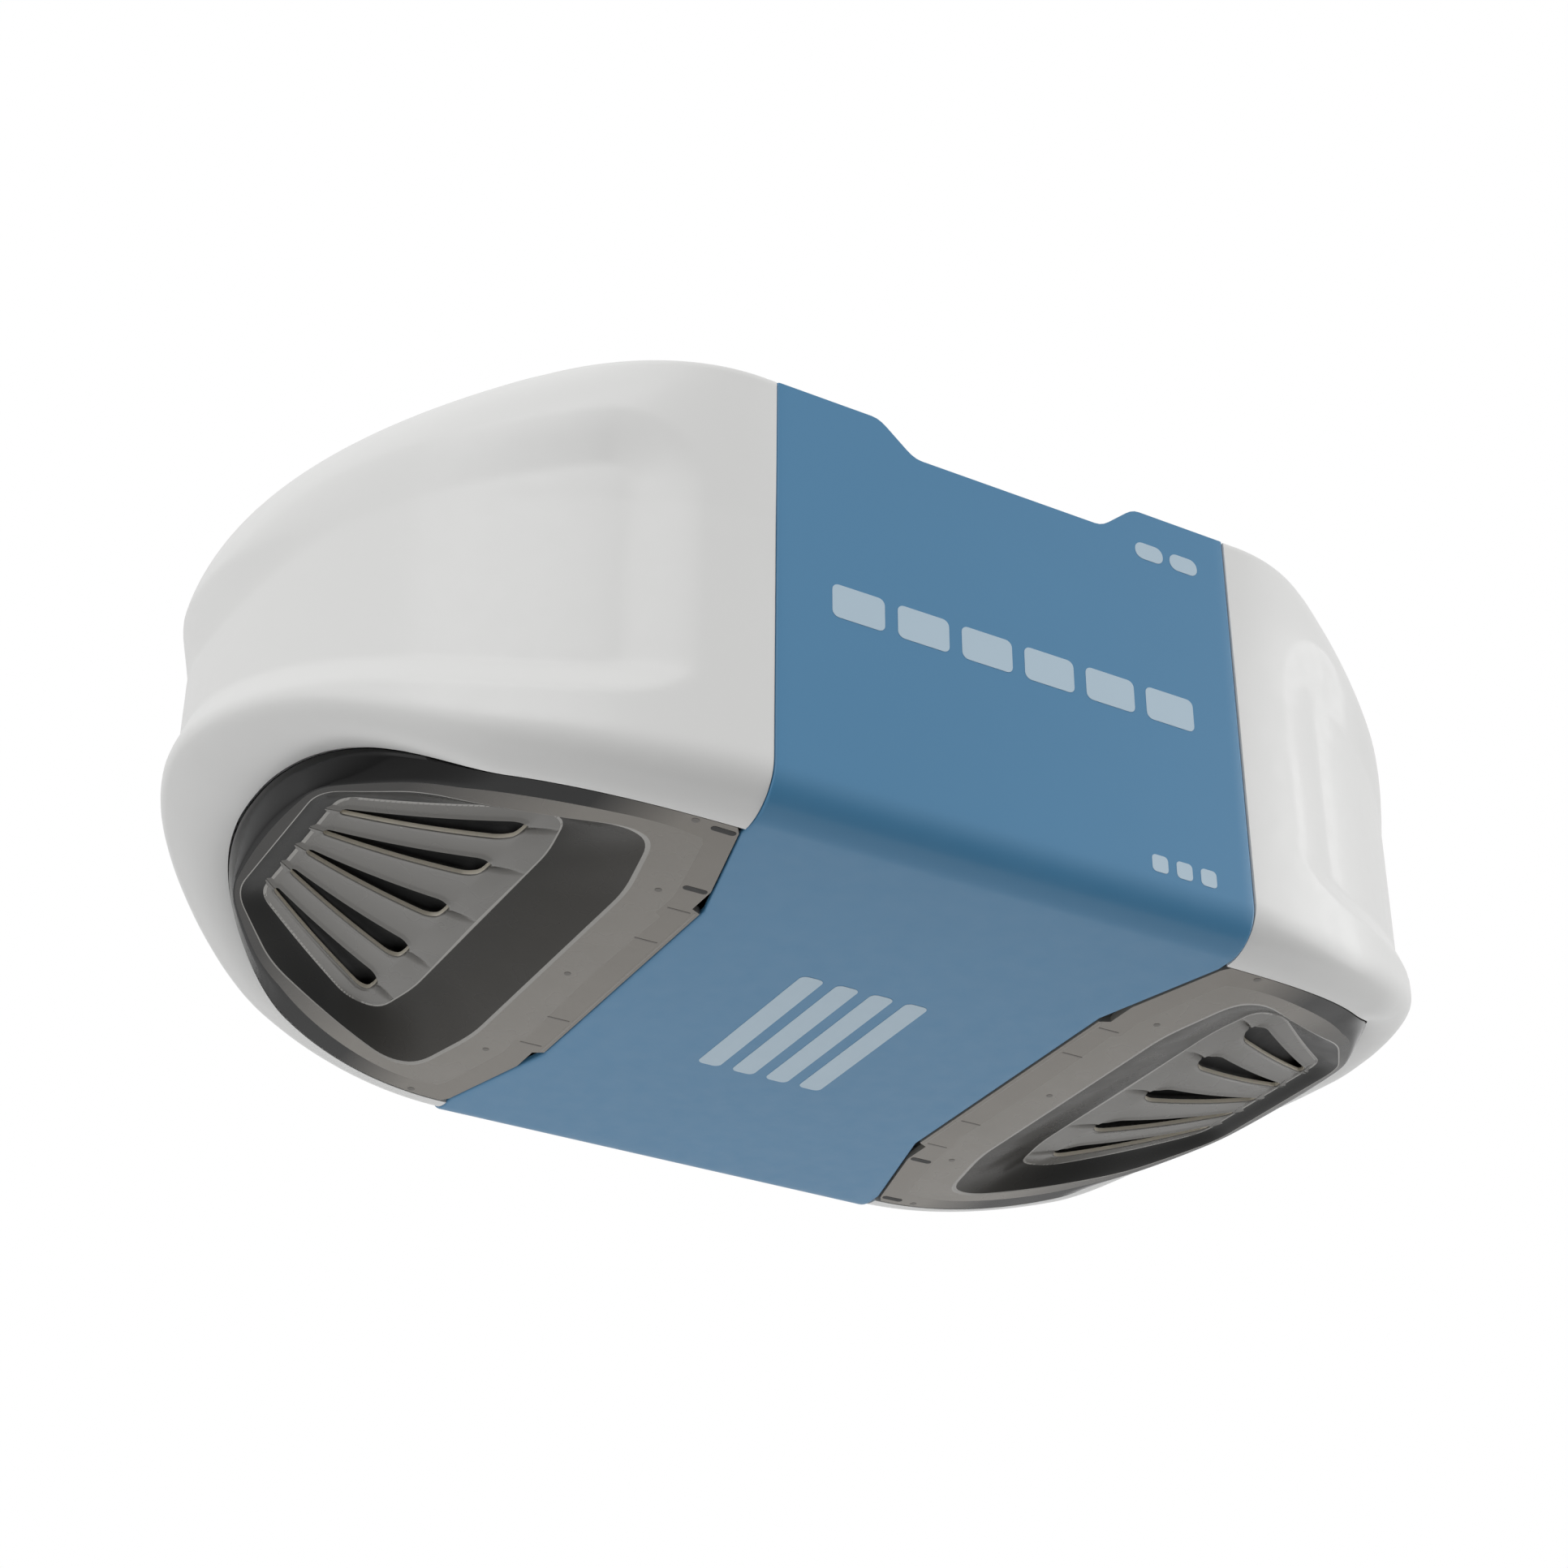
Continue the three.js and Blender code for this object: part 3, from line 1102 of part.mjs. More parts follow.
function terminalBlockGeometry() {
  const body = block(TERMINAL_X, [PANEL_FACE - 14, PANEL_FACE + 2], TERMINAL_Z);
  const wireHoles = TERMINALS.map((x) =>
    rodY(x, TERMINAL_Z[0] + 5, WIRE_HOLE_RADIUS, [PANEL_FACE - 8, PANEL_FACE + 5], 12));
  const tabSlots = TERMINALS.map((x) => tabBlock(x, GAP, [PANEL_FACE - 10, PANEL_FACE + 5]));
  return cut(body, ...wireHoles, ...tabSlots);
}

const tabGeometry = (x) => tabBlock(x, 0, [PANEL_FACE - 6, PANEL_FACE + 3.5]);

// ---------------------------------------------------------------- assembly

// shell
add('cover_band', bandGeometry(), BLUE_PAINT);
const endCover = coverGeometry();
add('right_end_cover', endCover, WHITE_PLASTIC);
add('left_end_cover', mirroredX(endCover), WHITE_PLASTIC);
const lens = lensGeometry();
add('right_light_lens', lens, SMOKED_LENS);
add('left_light_lens', turnedAbout(lens), SMOKED_LENS);

// chassis and what hangs it up
add('chassis', chassisGeometry(), ZINC_STEEL);
add('right_hinge_bar', hingeBarGeometry(), BLACK_PLASTIC);
add('left_hinge_bar', mirroredX(hingeBarGeometry()), BLACK_PLASTIC);
add('right_hanging_flange', hangingFlangeGeometry(), ZINC_STEEL);
add('left_hanging_flange', mirroredX(hangingFlangeGeometry()), ZINC_STEEL);
HANGER_SCREWS.forEach(([x, y], i) => {
  const seat = CHASSIS_TOP + GAP + FLANGE_SHEET + GAP;
  add(`hanger_screw_${i + 1}`, hexScrewGeometry(x, y, seat, HANGER_SCREW), SHAFT_STEEL);
});
add('rail_bracket', railBracketGeometry(), ZINC_STEEL);
RAIL_BOLTS.forEach(([x, y], i) => {
  const seat = CHASSIS_TOP + GAP + BRACKET_SHEET + GAP;
  add(`rail_bolt_${i + 1}`, hexScrewGeometry(x, y, seat, RAIL_BOLT), SHAFT_STEEL);
});
add('cord_gland', cordGlandGeometry(), BLACK_PLASTIC);

// lamp sockets
add('right_socket_bracket', socketBracketGeometry(), ZINC_STEEL);
add('left_socket_bracket', mirroredX(socketBracketGeometry()), ZINC_STEEL);
add('right_lamp_socket', lampSocketGeometry(), CERAMIC);
add('left_lamp_socket', mirroredX(lampSocketGeometry()), CERAMIC);

// motor
add('motor_can', motorCanGeometry(), MOTOR_STEEL);
add('motor_end_cap', motorEndCapGeometry(), CAST_ALUMINIUM);
add('motor_hanger', motorHangerGeometry(HANGER_FRONT_Y), ZINC_STEEL);
add('rear_motor_hanger', motorHangerGeometry(HANGER_BACK_Y), ZINC_STEEL);
add('front_isolator', isolatorGeometry([MOTOR_Y[1] + GAP, HANGER_FRONT_Y[0] - GAP]), RUBBER);
const noseY = MOTOR_Y[0] - GAP - CAP_LENGTH - NOSE_LENGTH;
add('rear_isolator', isolatorGeometry([HANGER_BACK_Y[1] + GAP, noseY - GAP]), RUBBER);
add('motor_shaft', motorShaftGeometry(), SHAFT_STEEL);
add('worm', wormGeometry(), SHAFT_STEEL);
add('speed_wheel', speedWheelGeometry(), BLACK_PLASTIC);
add('speed_sensor', speedSensorGeometry(), BLACK_PLASTIC);

// gearbox and output
add('gear_housing', gearHousingGeometry(), CAST_ALUMINIUM);
add('gear_housing_lid', gearHousingLidGeometry(), CAST_ALUMINIUM);
add('worm_wheel', wormWheelGeometry(), NYLON);
add('output_shaft', outputShaftGeometry(), SHAFT_STEEL);
add('shaft_bushing', shaftBushingGeometry(), BRASS);
add('belt_sprocket', sprocketGeometry(), SHAFT_STEEL);
add('sprocket_cover', sprocketCoverGeometry(), BLACK_PLASTIC);

// electrics
add('transformer_core', transformerCoreGeometry(), CORE_STEEL);
add('transformer_coil', transformerCoilGeometry(), WINDING_TAPE);
add('start_capacitor', capacitorGeometry(), BLACK_PLASTIC);
add('capacitor_clip', capacitorClipGeometry(), ZINC_STEEL);
add('logic_board', logicBoardGeometry(), BOARD_GREEN);
add('up_relay', onBoard(RELAY_HEIGHT, [-40, -21], [70, 90]), RELAY_BLUE);
add('down_relay', onBoard(RELAY_HEIGHT, [-12, 7], [70, 90]), RELAY_BLUE);
add('radio_module', onBoard(4, [40, 76], [36, 60]), CORE_STEEL);

// control panel, seen through the window in the back of the band
add('control_panel', controlPanelGeometry(), BLACK_PLASTIC);
add('terminal_block', terminalBlockGeometry(), TERMINAL_GREY);
const TAB_LOOKS = [TERMINAL_RED, WHITE_PLASTIC, WHITE_PLASTIC, TERMINAL_GREY];
TERMINALS.forEach((x, i) => add(`wire_tab_${i + 1}`, tabGeometry(x), TAB_LOOKS[i]));
const BUTTON_LOOKS = [LEARN_YELLOW, TERMINAL_GREY, WHITE_PLASTIC, WHITE_PLASTIC];
BUTTONS.forEach((button, i) => add(button.name, buttonGeometry(button), BUTTON_LOOKS[i]));

export default assembly;
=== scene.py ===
# Looks for the garage door opener's power head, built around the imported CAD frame.
# Frame: +Z up, -Y is the decorated face of the blue band, lenses below at -X and +X.
# Shapes are worked out in millimetres and stored in metres.

import json
import math

import bmesh
import bpy
from mathutils import Matrix, Vector

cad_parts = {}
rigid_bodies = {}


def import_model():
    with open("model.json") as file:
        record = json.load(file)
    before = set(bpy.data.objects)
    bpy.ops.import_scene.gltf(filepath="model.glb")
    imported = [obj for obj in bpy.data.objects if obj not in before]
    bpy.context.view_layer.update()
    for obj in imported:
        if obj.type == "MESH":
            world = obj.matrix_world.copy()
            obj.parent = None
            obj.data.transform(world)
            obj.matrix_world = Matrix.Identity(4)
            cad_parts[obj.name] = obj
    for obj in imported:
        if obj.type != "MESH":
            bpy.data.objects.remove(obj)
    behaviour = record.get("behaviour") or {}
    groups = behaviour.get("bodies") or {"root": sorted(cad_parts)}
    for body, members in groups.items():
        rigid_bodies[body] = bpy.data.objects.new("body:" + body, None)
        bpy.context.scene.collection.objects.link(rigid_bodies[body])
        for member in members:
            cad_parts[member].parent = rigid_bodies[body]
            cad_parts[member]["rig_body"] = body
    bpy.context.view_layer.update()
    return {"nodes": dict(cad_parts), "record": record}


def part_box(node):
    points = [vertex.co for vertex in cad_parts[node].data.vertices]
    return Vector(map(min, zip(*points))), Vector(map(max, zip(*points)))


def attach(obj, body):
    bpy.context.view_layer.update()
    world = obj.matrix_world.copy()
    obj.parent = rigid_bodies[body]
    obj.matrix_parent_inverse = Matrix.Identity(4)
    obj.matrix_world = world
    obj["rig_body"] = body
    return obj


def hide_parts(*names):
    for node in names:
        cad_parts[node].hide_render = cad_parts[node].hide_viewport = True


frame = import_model()
MM = 0.001


def box_mm(node):
    low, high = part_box(node)
    return [v / MM for v in low], [v / MM for v in high]


# ---------------------------------------------------------------- dimensions, mm

BAND_HIGH = box_mm("cover_band")[1]
COVER_HIGH = box_mm("right_end_cover")[1]
PANEL_LOW, PANEL_HIGH = box_mm("control_panel")

GAP = 0.3
PROUD = 0.15                     # room kept inside the CAD box for printed marks
BAND_HALF = BAND_HIGH[0]
HALF_DEPTH = BAND_HIGH[1]
HEIGHT = BAND_HIGH[2]
BAND_SHEET = 1.2
BAND_BEND = 15
NOTCH_HALF = 39
NOTCH_RAMP = 14
NOTCH_FLOOR = 154
WAIST_HALF = 79
WAIST_START = 113
WAIST_END = 62
FLAT_HALF = 88                   # half width of the band's even grid, between its rolled edges
FLAT_COLUMNS = 88
WALL_TOP = 148                   # the walls' rows are level up to here, then follow the notch
WINDOW_MARGIN = 4                # the window in the back wall stays this far inside the panel's box

COVER_ROOT = 88.2
COVER_REACH = COVER_HIGH[0]
COVER_EXPONENT = 1.85
COVER_WALL = 2.5
BELLY_HEIGHT = 108
LEAN = 26
LEAN_POWER = 1.4
CROWN_START = 118.5
CROWN = 21.8
CROWN_POWER = 3.5
TOP_ROOT_SHIFT = 10.6
TOP_EXPONENT_SHIFT = 0.094
TOP_ROUND = 2.4
LIP_HEIGHT = 17
LIP_NARROWING = 5
LIP_STANDOFF = 2.5

PANEL_DEPTH = 4
PANEL_START = (118, 141)
PANEL_CEILING = 143
PANEL_CEILING_FROM = 147
PANEL_CEILING_SLOPE = 0.2
PANEL_NOSE_FROM = 213
PANEL_NOSE_DIP = 17
PANEL_CEILING_BEVEL = 21
PANEL_SILL = 32
PANEL_SILL_FROM = 160
PANEL_SILL_RISE = 17
PANEL_SILL_BEVEL = 11
PANEL_SILL_POWER = 1.6
PANEL_CORNER = 1.35              # rounding of the panel's corners, in bevel widths

LENS_ROOT = 93
LENS_REACH = 216
LENS_HALF_DEPTH = 116
LENS_EXPONENT = 2.1
LENS_WALL = 2.4
LENS_RISE = 24.6
LENS_EDGE_LIFT = 8
LENS_LIFT_X = (166, 213)
LENS_GAP = 0.6
DISH_DEPTH_INNER = 8
DISH_DEPTH_OUTER = 4
DISH_CENTRE = (160, 0)
DISH_RIM = [(106.5, 62), (114, 95), (125, 98), (183, 67), (207, 38)]
DISH_FLOOR = [(133, 56), (137, 78), (150, 77), (199, 37)]
DISH_SLOPE_X = (134, 199)        # where the dish goes over from its inner to its outer depth
RIM_CORNER = 9
FLOOR_CORNER = 7
EDGE_BAND = 8                    # width of the lens's turned-up edge
EDGE_LIFT_POWER = 1.4
BEAD_RADIUS = 1.6
HINGE_X = 81.2
HINGE_RELIEF = 2.2               # the lens's edge steps back this far beside the hinge bar


# ---------------------------------------------------------------- small maths

def clamp(value, low, high):
    return min(max(value, low), high)


def ramp(value, start, end):
    return clamp((value - start) / (end - start), 0, 1)


def smooth(value, start, end):
    t = ramp(value, start, end)
    return t * t * (3 - 2 * t)


def lerp(a, b, t):
    return a + (b - a) * t


def spread(start, end, count):
    return [lerp(start, end, i / count) for i in range(count + 1)]


# ---------------------------------------------------------------- mesh helpers

def new_piece(name, verts_mm, faces, body, smooth_angle=35, replaces=(), face_mats=None, mats=()):
    mesh = bpy.data.meshes.new(name)
    mesh.from_pydata([tuple(c * MM for c in v) for v in verts_mm], [], faces)
    for mat in mats:
        mesh.materials.append(mat)
    if face_mats:
        for polygon, index in zip(mesh.polygons, face_mats):
            polygon.material_index = index
    return settle(name, mesh, body, smooth_angle, replaces)


def settle(name, mesh, body, smooth_angle=35, replaces=()):
    """Cleans a mesh, faces it outwards, shades it and puts it on its body."""
    bm = bmesh.new()
    bm.from_mesh(mesh)
    bmesh.ops.remove_doubles(bm, verts=bm.verts, dist=0.002 * MM)
    bmesh.ops.dissolve_degenerate(bm, edges=bm.edges, dist=0.001 * MM)
    bmesh.ops.recalc_face_normals(bm, faces=bm.faces)
    for face in bm.faces:
        face.smooth = True
    limit = math.radians(smooth_angle)
    for edge in bm.edges:
        if len(edge.link_faces) == 2:
            edge.smooth = edge.calc_face_angle(0) < limit
    bm.to_mesh(mesh)
    bm.free()
    obj = bpy.data.objects.new(name, mesh)
    bpy.context.scene.collection.objects.link(obj)
    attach(obj, body)
    if replaces:
        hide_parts(*replaces)
    return obj


def thick_grid(outer, inner, ring=False, hole=None):
    """A closed sheet between two grids of points: its points, its faces, and each face's kind and
    cell. ring: the last column meets the first. hole(row, column): true for the cells cut out."""
    rows, columns = len(outer), len(outer[0])
    verts = [p for row in outer for p in row] + [p for row in inner for p in row]
    half = rows * columns
    spans = columns if ring else columns - 1
    index = lambda r, c, side: side * half + r * columns + c % columns
    kept = lambda r, c: (0 <= r < rows - 1 and (ring or 0 <= c < spans)
                         and not (hole and hole(r, c % spans)))
    faces, kinds = [], []
    for r in range(rows - 1):
        for c in range(spans):
            if not kept(r, c):
                continue
            faces.append([index(r, c, 0), index(r, c + 1, 0), index(r + 1, c + 1, 0), index(r + 1, c, 0)])
            faces.append([index(r, c, 1), index(r + 1, c, 1), index(r + 1, c + 1, 1), index(r, c + 1, 1)])
            kinds += [("outer", r, c), ("inner", r, c)]
            sides = [((r - 1, c), (r, c), (r, c + 1)), ((r + 1, c), (r + 1, c + 1), (r + 1, c)),
                     ((r, c - 1), (r + 1, c), (r, c)), ((r, c + 1), (r, c + 1), (r + 1, c + 1))]
            for neighbour, a, b in sides:
                if not kept(*neighbour):
                    faces.append([index(*a, 0), index(*a, 1), index(*b, 1), index(*b, 0)])
                    kinds.append(("edge", r, c))
    return verts, faces, kinds


def plan_point(angle, root, reach, half_depth, exponent):
    power = 2 / exponent
    x = root + (reach - root) * abs(math.cos(angle)) ** power
    y = math.copysign(half_depth * abs(math.sin(angle)) ** power, angle)
    return x, y


def rounded_outline(half_corners, radius, steps=8):
    """Outline that is the same front and back, from the corners of its +Y half."""
    corners = list(half_corners) + [(x, -y) for x, y in reversed(half_corners)]
    points = []
    for i, corner in enumerate(corners):
        here = Vector(corner)
        to_before = Vector(corners[i - 1]) - here
        to_after = Vector(corners[(i + 1) % len(corners)]) - here
        start = here + to_before * min(radius / to_before.length, 0.45)
        end = here + to_after * min(radius / to_after.length, 0.45)
        for k in range(steps + 1):
            t = k / steps
            points.append(start * (1 - t) ** 2 + here * 2 * t * (1 - t) + end * t * t)
    return points


def ray_reach(angle, outline, centre):
    """Distance from the centre to an outline along a direction."""
    dx, dy = math.cos(angle), math.sin(angle)
    cx, cy = centre
    reach = 0
    for i, (x0, y0) in enumerate(outline):
        x1, y1 = outline[(i + 1) % len(outline)]
        det = (x1 - x0) * dy - (y1 - y0) * dx
        if abs(det) < 1e-9:
            continue
        along = ((cx - x0) * dy - (cy - y0) * dx) / det
        distance = ((cx - x0) * (y1 - y0) - (cy - y0) * (x1 - x0)) / det
        if -1e-9 <= along <= 1 + 1e-9:
            reach = max(reach, distance)
    return reach


def mirrored(verts):
    return [(-x, y, z) for x, y, z in verts]


def turned_about(verts):
    return [(-x, -y, z) for x, y, z in verts]


# ---------------------------------------------------------------- materials

class Nodes:
    """Shorthand for building one procedural material."""

    def __init__(self, name):
        self.material = bpy.data.materials.new(name)
        self.material.use_nodes = True
        self.tree = self.material.node_tree
        self.shader = self.tree.nodes["Principled BSDF"]
        self.coordinates = self.tree.nodes.new("ShaderNodeTexCoord")

    def set(self, **values):
        for name, value in values.items():
            self.shader.inputs[name.replace("_", " ")].default_value = value

    def scaled(self, scale):
        mapping = self.tree.nodes.new("ShaderNodeMapping")
        mapping.inputs["Scale"].default_value = scale if hasattr(scale, "__len__") else (scale,) * 3
        self.tree.links.new(self.coordinates.outputs["Object"], mapping.inputs["Vector"])
        return mapping.outputs["Vector"]

    def noise(self, scale, detail=3, roughness=0.5):
        node = self.tree.nodes.new("ShaderNodeTexNoise")
        node.inputs["Scale"].default_value = 1
        node.inputs["Detail"].default_value = detail
        node.inputs["Roughness"].default_value = roughness
        self.tree.links.new(self.scaled(scale), node.inputs["Vector"])
        return node.outputs["Fac"]

    def cells(self, scale, output="Color"):
        node = self.tree.nodes.new("ShaderNodeTexVoronoi")
        node.inputs["Scale"].default_value = 1
        self.tree.links.new(self.scaled(scale), node.inputs["Vector"])
        return node.outputs[output]

    def wave(self, scale, direction="X", distortion=0.0):
        node = self.tree.nodes.new("ShaderNodeTexWave")
        node.bands_direction = direction
        node.inputs["Scale"].default_value = scale
        node.inputs["Distortion"].default_value = distortion
        self.tree.links.new(self.coordinates.outputs["Object"], node.inputs["Vector"])
        return node.outputs["Fac"]

    def between(self, factor, low, high, from_low=0.3, from_high=0.7):
        """Maps a texture value onto a range of numbers."""
        node = self.tree.nodes.new("ShaderNodeMapRange")
        node.inputs["From Min"].default_value = from_low
        node.inputs["From Max"].default_value = from_high
        node.inputs["To Min"].default_value = low
        node.inputs["To Max"].default_value = high
        self.tree.links.new(factor, node.inputs["Value"])
        return node.outputs["Result"]

    def blend(self, factor, first, second):
        """Colour that goes from first to second with the factor."""
        node = self.tree.nodes.new("ShaderNodeMix")
        node.data_type = "RGBA"
        self.tree.links.new(factor, node.inputs["Factor"])
        for socket, value in ((node.inputs[6], first), (node.inputs[7], second)):
            if hasattr(value, "is_output"):
                self.tree.links.new(value, socket)
            else:
                socket.default_value = (*value, 1)
        return node.outputs[2]

    def from_middle(self, start_mm, end_mm):
        """0 to 1 with the distance from the object's middle plane."""
        split = self.tree.nodes.new("ShaderNodeSeparateXYZ")
        self.tree.links.new(self.coordinates.outputs["Object"], split.inputs["Vector"])
        distance = self.tree.nodes.new("ShaderNodeMath")
        distance.operation = "ABSOLUTE"
        self.tree.links.new(split.outputs["X"], distance.inputs[0])
        return self.between(distance.outputs["Value"], 0, 1, start_mm * MM, end_mm * MM)

    def edges(self, width_mm):
        """1 on sharp outer edges, 0 elsewhere, for wear."""
        bevel = self.tree.nodes.new("ShaderNodeBevel")
        bevel.inputs["Radius"].default_value = width_mm * MM
        normal = self.tree.nodes.new("ShaderNodeNewGeometry")
        dot = self.tree.nodes.new("ShaderNodeVectorMath")
        dot.operation = "DOT_PRODUCT"
        self.tree.links.new(bevel.outputs["Normal"], dot.inputs[0])
        self.tree.links.new(normal.outputs["Normal"], dot.inputs[1])
        return self.between(dot.outputs["Value"], 1, 0, 0.8, 0.98)

    def colour(self, source):
        self.tree.links.new(source, self.shader.inputs["Base Color"])

    def rough(self, source):
        self.tree.links.new(source, self.shader.inputs["Roughness"])

    def bump(self, *layers):
        """Stacks (height, distance in mm) bumps."""
        last = None
        for height, distance in layers:
            node = self.tree.nodes.new("ShaderNodeBump")
            node.inputs["Distance"].default_value = distance * MM
            node.inputs["Strength"].default_value = 1
            self.tree.links.new(height, node.inputs["Height"])
            if last:
                self.tree.links.new(last, node.inputs["Normal"])
            last = node.outputs["Normal"]
        self.tree.links.new(last, self.shader.inputs["Normal"])


def shades(colour, spread_by):
    """A darker and a lighter version of a colour."""
    return ([max(c * (1 - spread_by), 0) for c in colour], [min(c * (1 + spread_by), 1) for c in colour])


def moulded(name, colour, rough=0.38, grain=900, depth=0.006, vary=0.02, coat=0.0, wear=None):
    """Injection-moulded plastic: fine spark texture, slow mottle and slightly rubbed edges."""
    n = Nodes(name)
    low, high = shades(colour, vary)
    tone = n.blend(n.noise(38, 4), low, high)
    if wear:
        tone = n.blend(n.between(n.edges(0.5), 0, 0.5, 0, 1), tone, wear)
    n.colour(tone)
    n.rough(n.between(n.noise(160, 3), rough - 0.05, rough + 0.06))
    n.bump((n.noise(grain, 2), depth), (n.noise(26, 2), depth * 2))
    n.set(Coat_Weight=coat, Coat_Roughness=0.12)
    return n.material


def metal(name, colour, rough=0.35, brush=(60, 60, 1500), depth=0.003, vary=0.06):
    """Bare metal with a brushed or drawn grain and faint stains."""
    n = Nodes(name)
    low, high = shades(colour, vary)
    n.colour(n.blend(n.noise(45, 5), low, high))
    n.rough(n.between(n.noise(brush, 3), rough - 0.08, rough + 0.1))
    n.bump((n.noise(brush, 3), depth))
    n.set(Metallic=1.0)
    return n.material


def cast(name, colour, rough=0.55):
    """Die-cast alloy with a sandy skin."""
    n = Nodes(name)
    low, high = shades(colour, 0.08)
    n.colour(n.blend(n.noise(70, 5), low, high))
    n.rough(n.between(n.noise(300, 4), rough - 0.1, rough + 0.1))
    n.bump((n.noise(700, 4), 0.03), (n.noise(60, 3), 0.05))
    n.set(Metallic=0.9)
    return n.material


def galvanised():
    """Zinc-coated sheet: crystal spangle, each crystal a little different in shade and gloss."""
    n = Nodes("zinc_sheet")
    spangle = n.cells(170)
    grey = n.tree.nodes.new("ShaderNodeRGBToBW")
    n.tree.links.new(spangle, grey.inputs["Color"])
    tone = n.blend(n.between(grey.outputs["Val"], 0, 1, 0.2, 0.8), (0.46, 0.48, 0.49), (0.56, 0.58, 0.59))
    n.colour(n.blend(n.between(n.edges(0.4), 0, 0.6, 0, 1), tone, (0.72, 0.73, 0.74)))
    n.rough(n.between(grey.outputs["Val"], 0.32, 0.48, 0.2, 0.8))
    n.bump((n.noise(400, 3), 0.004), (n.noise(30, 2), 0.02))
    n.set(Metallic=0.85)
    return n.material


def painted(name, colour, edge):
    """Satin powder coat on sheet steel: orange peel, a slow change of shade and paler rubbed edges."""
    n = Nodes(name)
    low, high = shades(colour, 0.045)
    tone = n.blend(n.noise(7, 3), low, high)
    n.colour(n.blend(n.between(n.edges(0.35), 0, 0.35, 0, 1), tone, edge))
    n.rough(n.between(n.noise(120, 3), 0.33, 0.42))
    n.bump((n.noise(520, 2), 0.006), (n.noise(18, 2), 0.03))
    n.set(Coat_Weight=0.12, Coat_Roughness=0.18, Specular_IOR_Level=0.4)
    return n.material


def smoked(name, colour, rough=0.22, coat=0.5, outer=None, across=None, specular=0.5):
    """Smoke-tinted polycarbonate with a polished skin and faint flow marks. Towards the outer end it
    goes over to a second, darker tint, which is painted shade."""
    n = Nodes(name)
    flow = n.noise((14, 40, 14), 4)
    low, high = shades(colour, 0.06)
    tone = n.blend(flow, low, high)
    if outer:
        low, high = shades(outer, 0.1)
        # painted shade: darker with the distance from the middle plane, towards the lens's outer end
        tone = n.blend(n.from_middle(*across), tone, n.blend(flow, low, high))
    n.colour(tone)
    n.rough(n.between(n.noise(60, 2), rough - 0.04, rough + 0.05))
    n.bump((n.noise(30, 2), 0.02))
    n.set(Coat_Weight=coat, Coat_Roughness=0.08, Specular_IOR_Level=specular)
    return n.material


def laminated():
    """Stacked core sheets: fine dark lines across dark steel."""
    n = Nodes("core_laminations")
    lines = n.wave(900, "Y", 0.4)
    n.colour(n.blend(lines, (0.07, 0.07, 0.075), (0.17, 0.17, 0.18)))
    n.rough(n.between(lines, 0.5, 0.7, 0, 1))
    n.bump((lines, 0.03))
    n.set(Metallic=0.6)
    return n.material


def circuit():
    """Solder-masked board: darker tracks and small pale pads."""
    n = Nodes("board_laminate")
    tracks = n.between(n.cells(260, "Distance"), 0, 1, 0.15, 0.3)
    mask = n.blend(tracks, (0.012, 0.085, 0.035), (0.02, 0.14, 0.06))
    pads = n.between(n.cells(420, "Distance"), 1, 0, 0.12, 0.16)
    n.colour(n.blend(pads, mask, (0.45, 0.44, 0.40)))
    n.rough(n.between(n.noise(200, 3), 0.32, 0.45))
    n.bump((tracks, 0.03))
    return n.material


def taped():
    """Winding tape in overlapping wraps."""
    n = Nodes("winding_wraps")
    wraps = n.wave(60, "Z", 1.2)
    n.colour(n.blend(wraps, (0.42, 0.28, 0.06), (0.60, 0.42, 0.10)))
    n.rough(n.between(n.noise(220, 3), 0.45, 0.6))
    n.bump((wraps, 0.12), (n.noise(500, 2), 0.01))
    return n.material


def glazed():
    """Glazed ceramic with tiny specks."""
    n = Nodes("socket_ceramic")
    specks = n.between(n.noise(900, 2), 0, 1, 0.66, 0.74)
    n.colour(n.blend(specks, (0.78, 0.76, 0.70), (0.52, 0.48, 0.42)))
    n.rough(n.between(n.noise(120, 3), 0.16, 0.3))
    n.bump((n.noise(60, 3), 0.04))
    n.set(Coat_Weight=0.4, Coat_Roughness=0.08)
    return n.material


BLUE = painted("blue_powder_coat", (0.072, 0.236, 0.420), (0.20, 0.40, 0.58))
WHITE = moulded("white_shell_plastic", (0.78, 0.78, 0.77), 0.36, depth=0.004, vary=0.008, coat=0.15)
MARK = moulded("printed_mark", (0.47, 0.60, 0.70), 0.4, vary=0.02)
# The lens is one smoked plastic given lit and shaded tones zone by zone. This lighter grey is painted
# reflection, used near the band on the flange and the turned-up edge; the flange goes over to painted shade
# at its outer end.
LENS_LIT_TONE = (0.235, 0.218, 0.194)
LENS_FLANGE_LIT_AND_SHADED = smoked("smoked_flange_lit_and_shaded", LENS_LIT_TONE, 0.28, 0.1, outer=(0.030, 0.028, 0.025),
                     across=(140, 188), specular=0.35)
# the turned-up edge goes near-black towards the outer end: a painted dark reflection
LENS_EDGE = smoked("smoked_edge_painted_reflection", LENS_LIT_TONE, 0.16, 0.1, outer=(0.003, 0.003, 0.003), across=(112, 140),
                   specular=0.2)
# the dish's wall is near-black, darker still towards the outer end: painted shade in the recess
LENS_DISH_SHADE = smoked("smoked_dish_painted_shade", (0.030, 0.027, 0.022), 0.28, 0.05, outer=(0.005, 0.005, 0.004),
                   across=(118, 160), specular=0.2)
LENS_PLATE = smoked("smoked_plate", (0.150, 0.144, 0.132), 0.26, 0.2)
# light grey rim tone: a painted highlight along the rounded rim of the dish and the plate's border
LENS_RIM_HIGHLIGHT = smoked("smoked_rim_painted_highlight", (0.30, 0.29, 0.27), 0.24, 0.3)
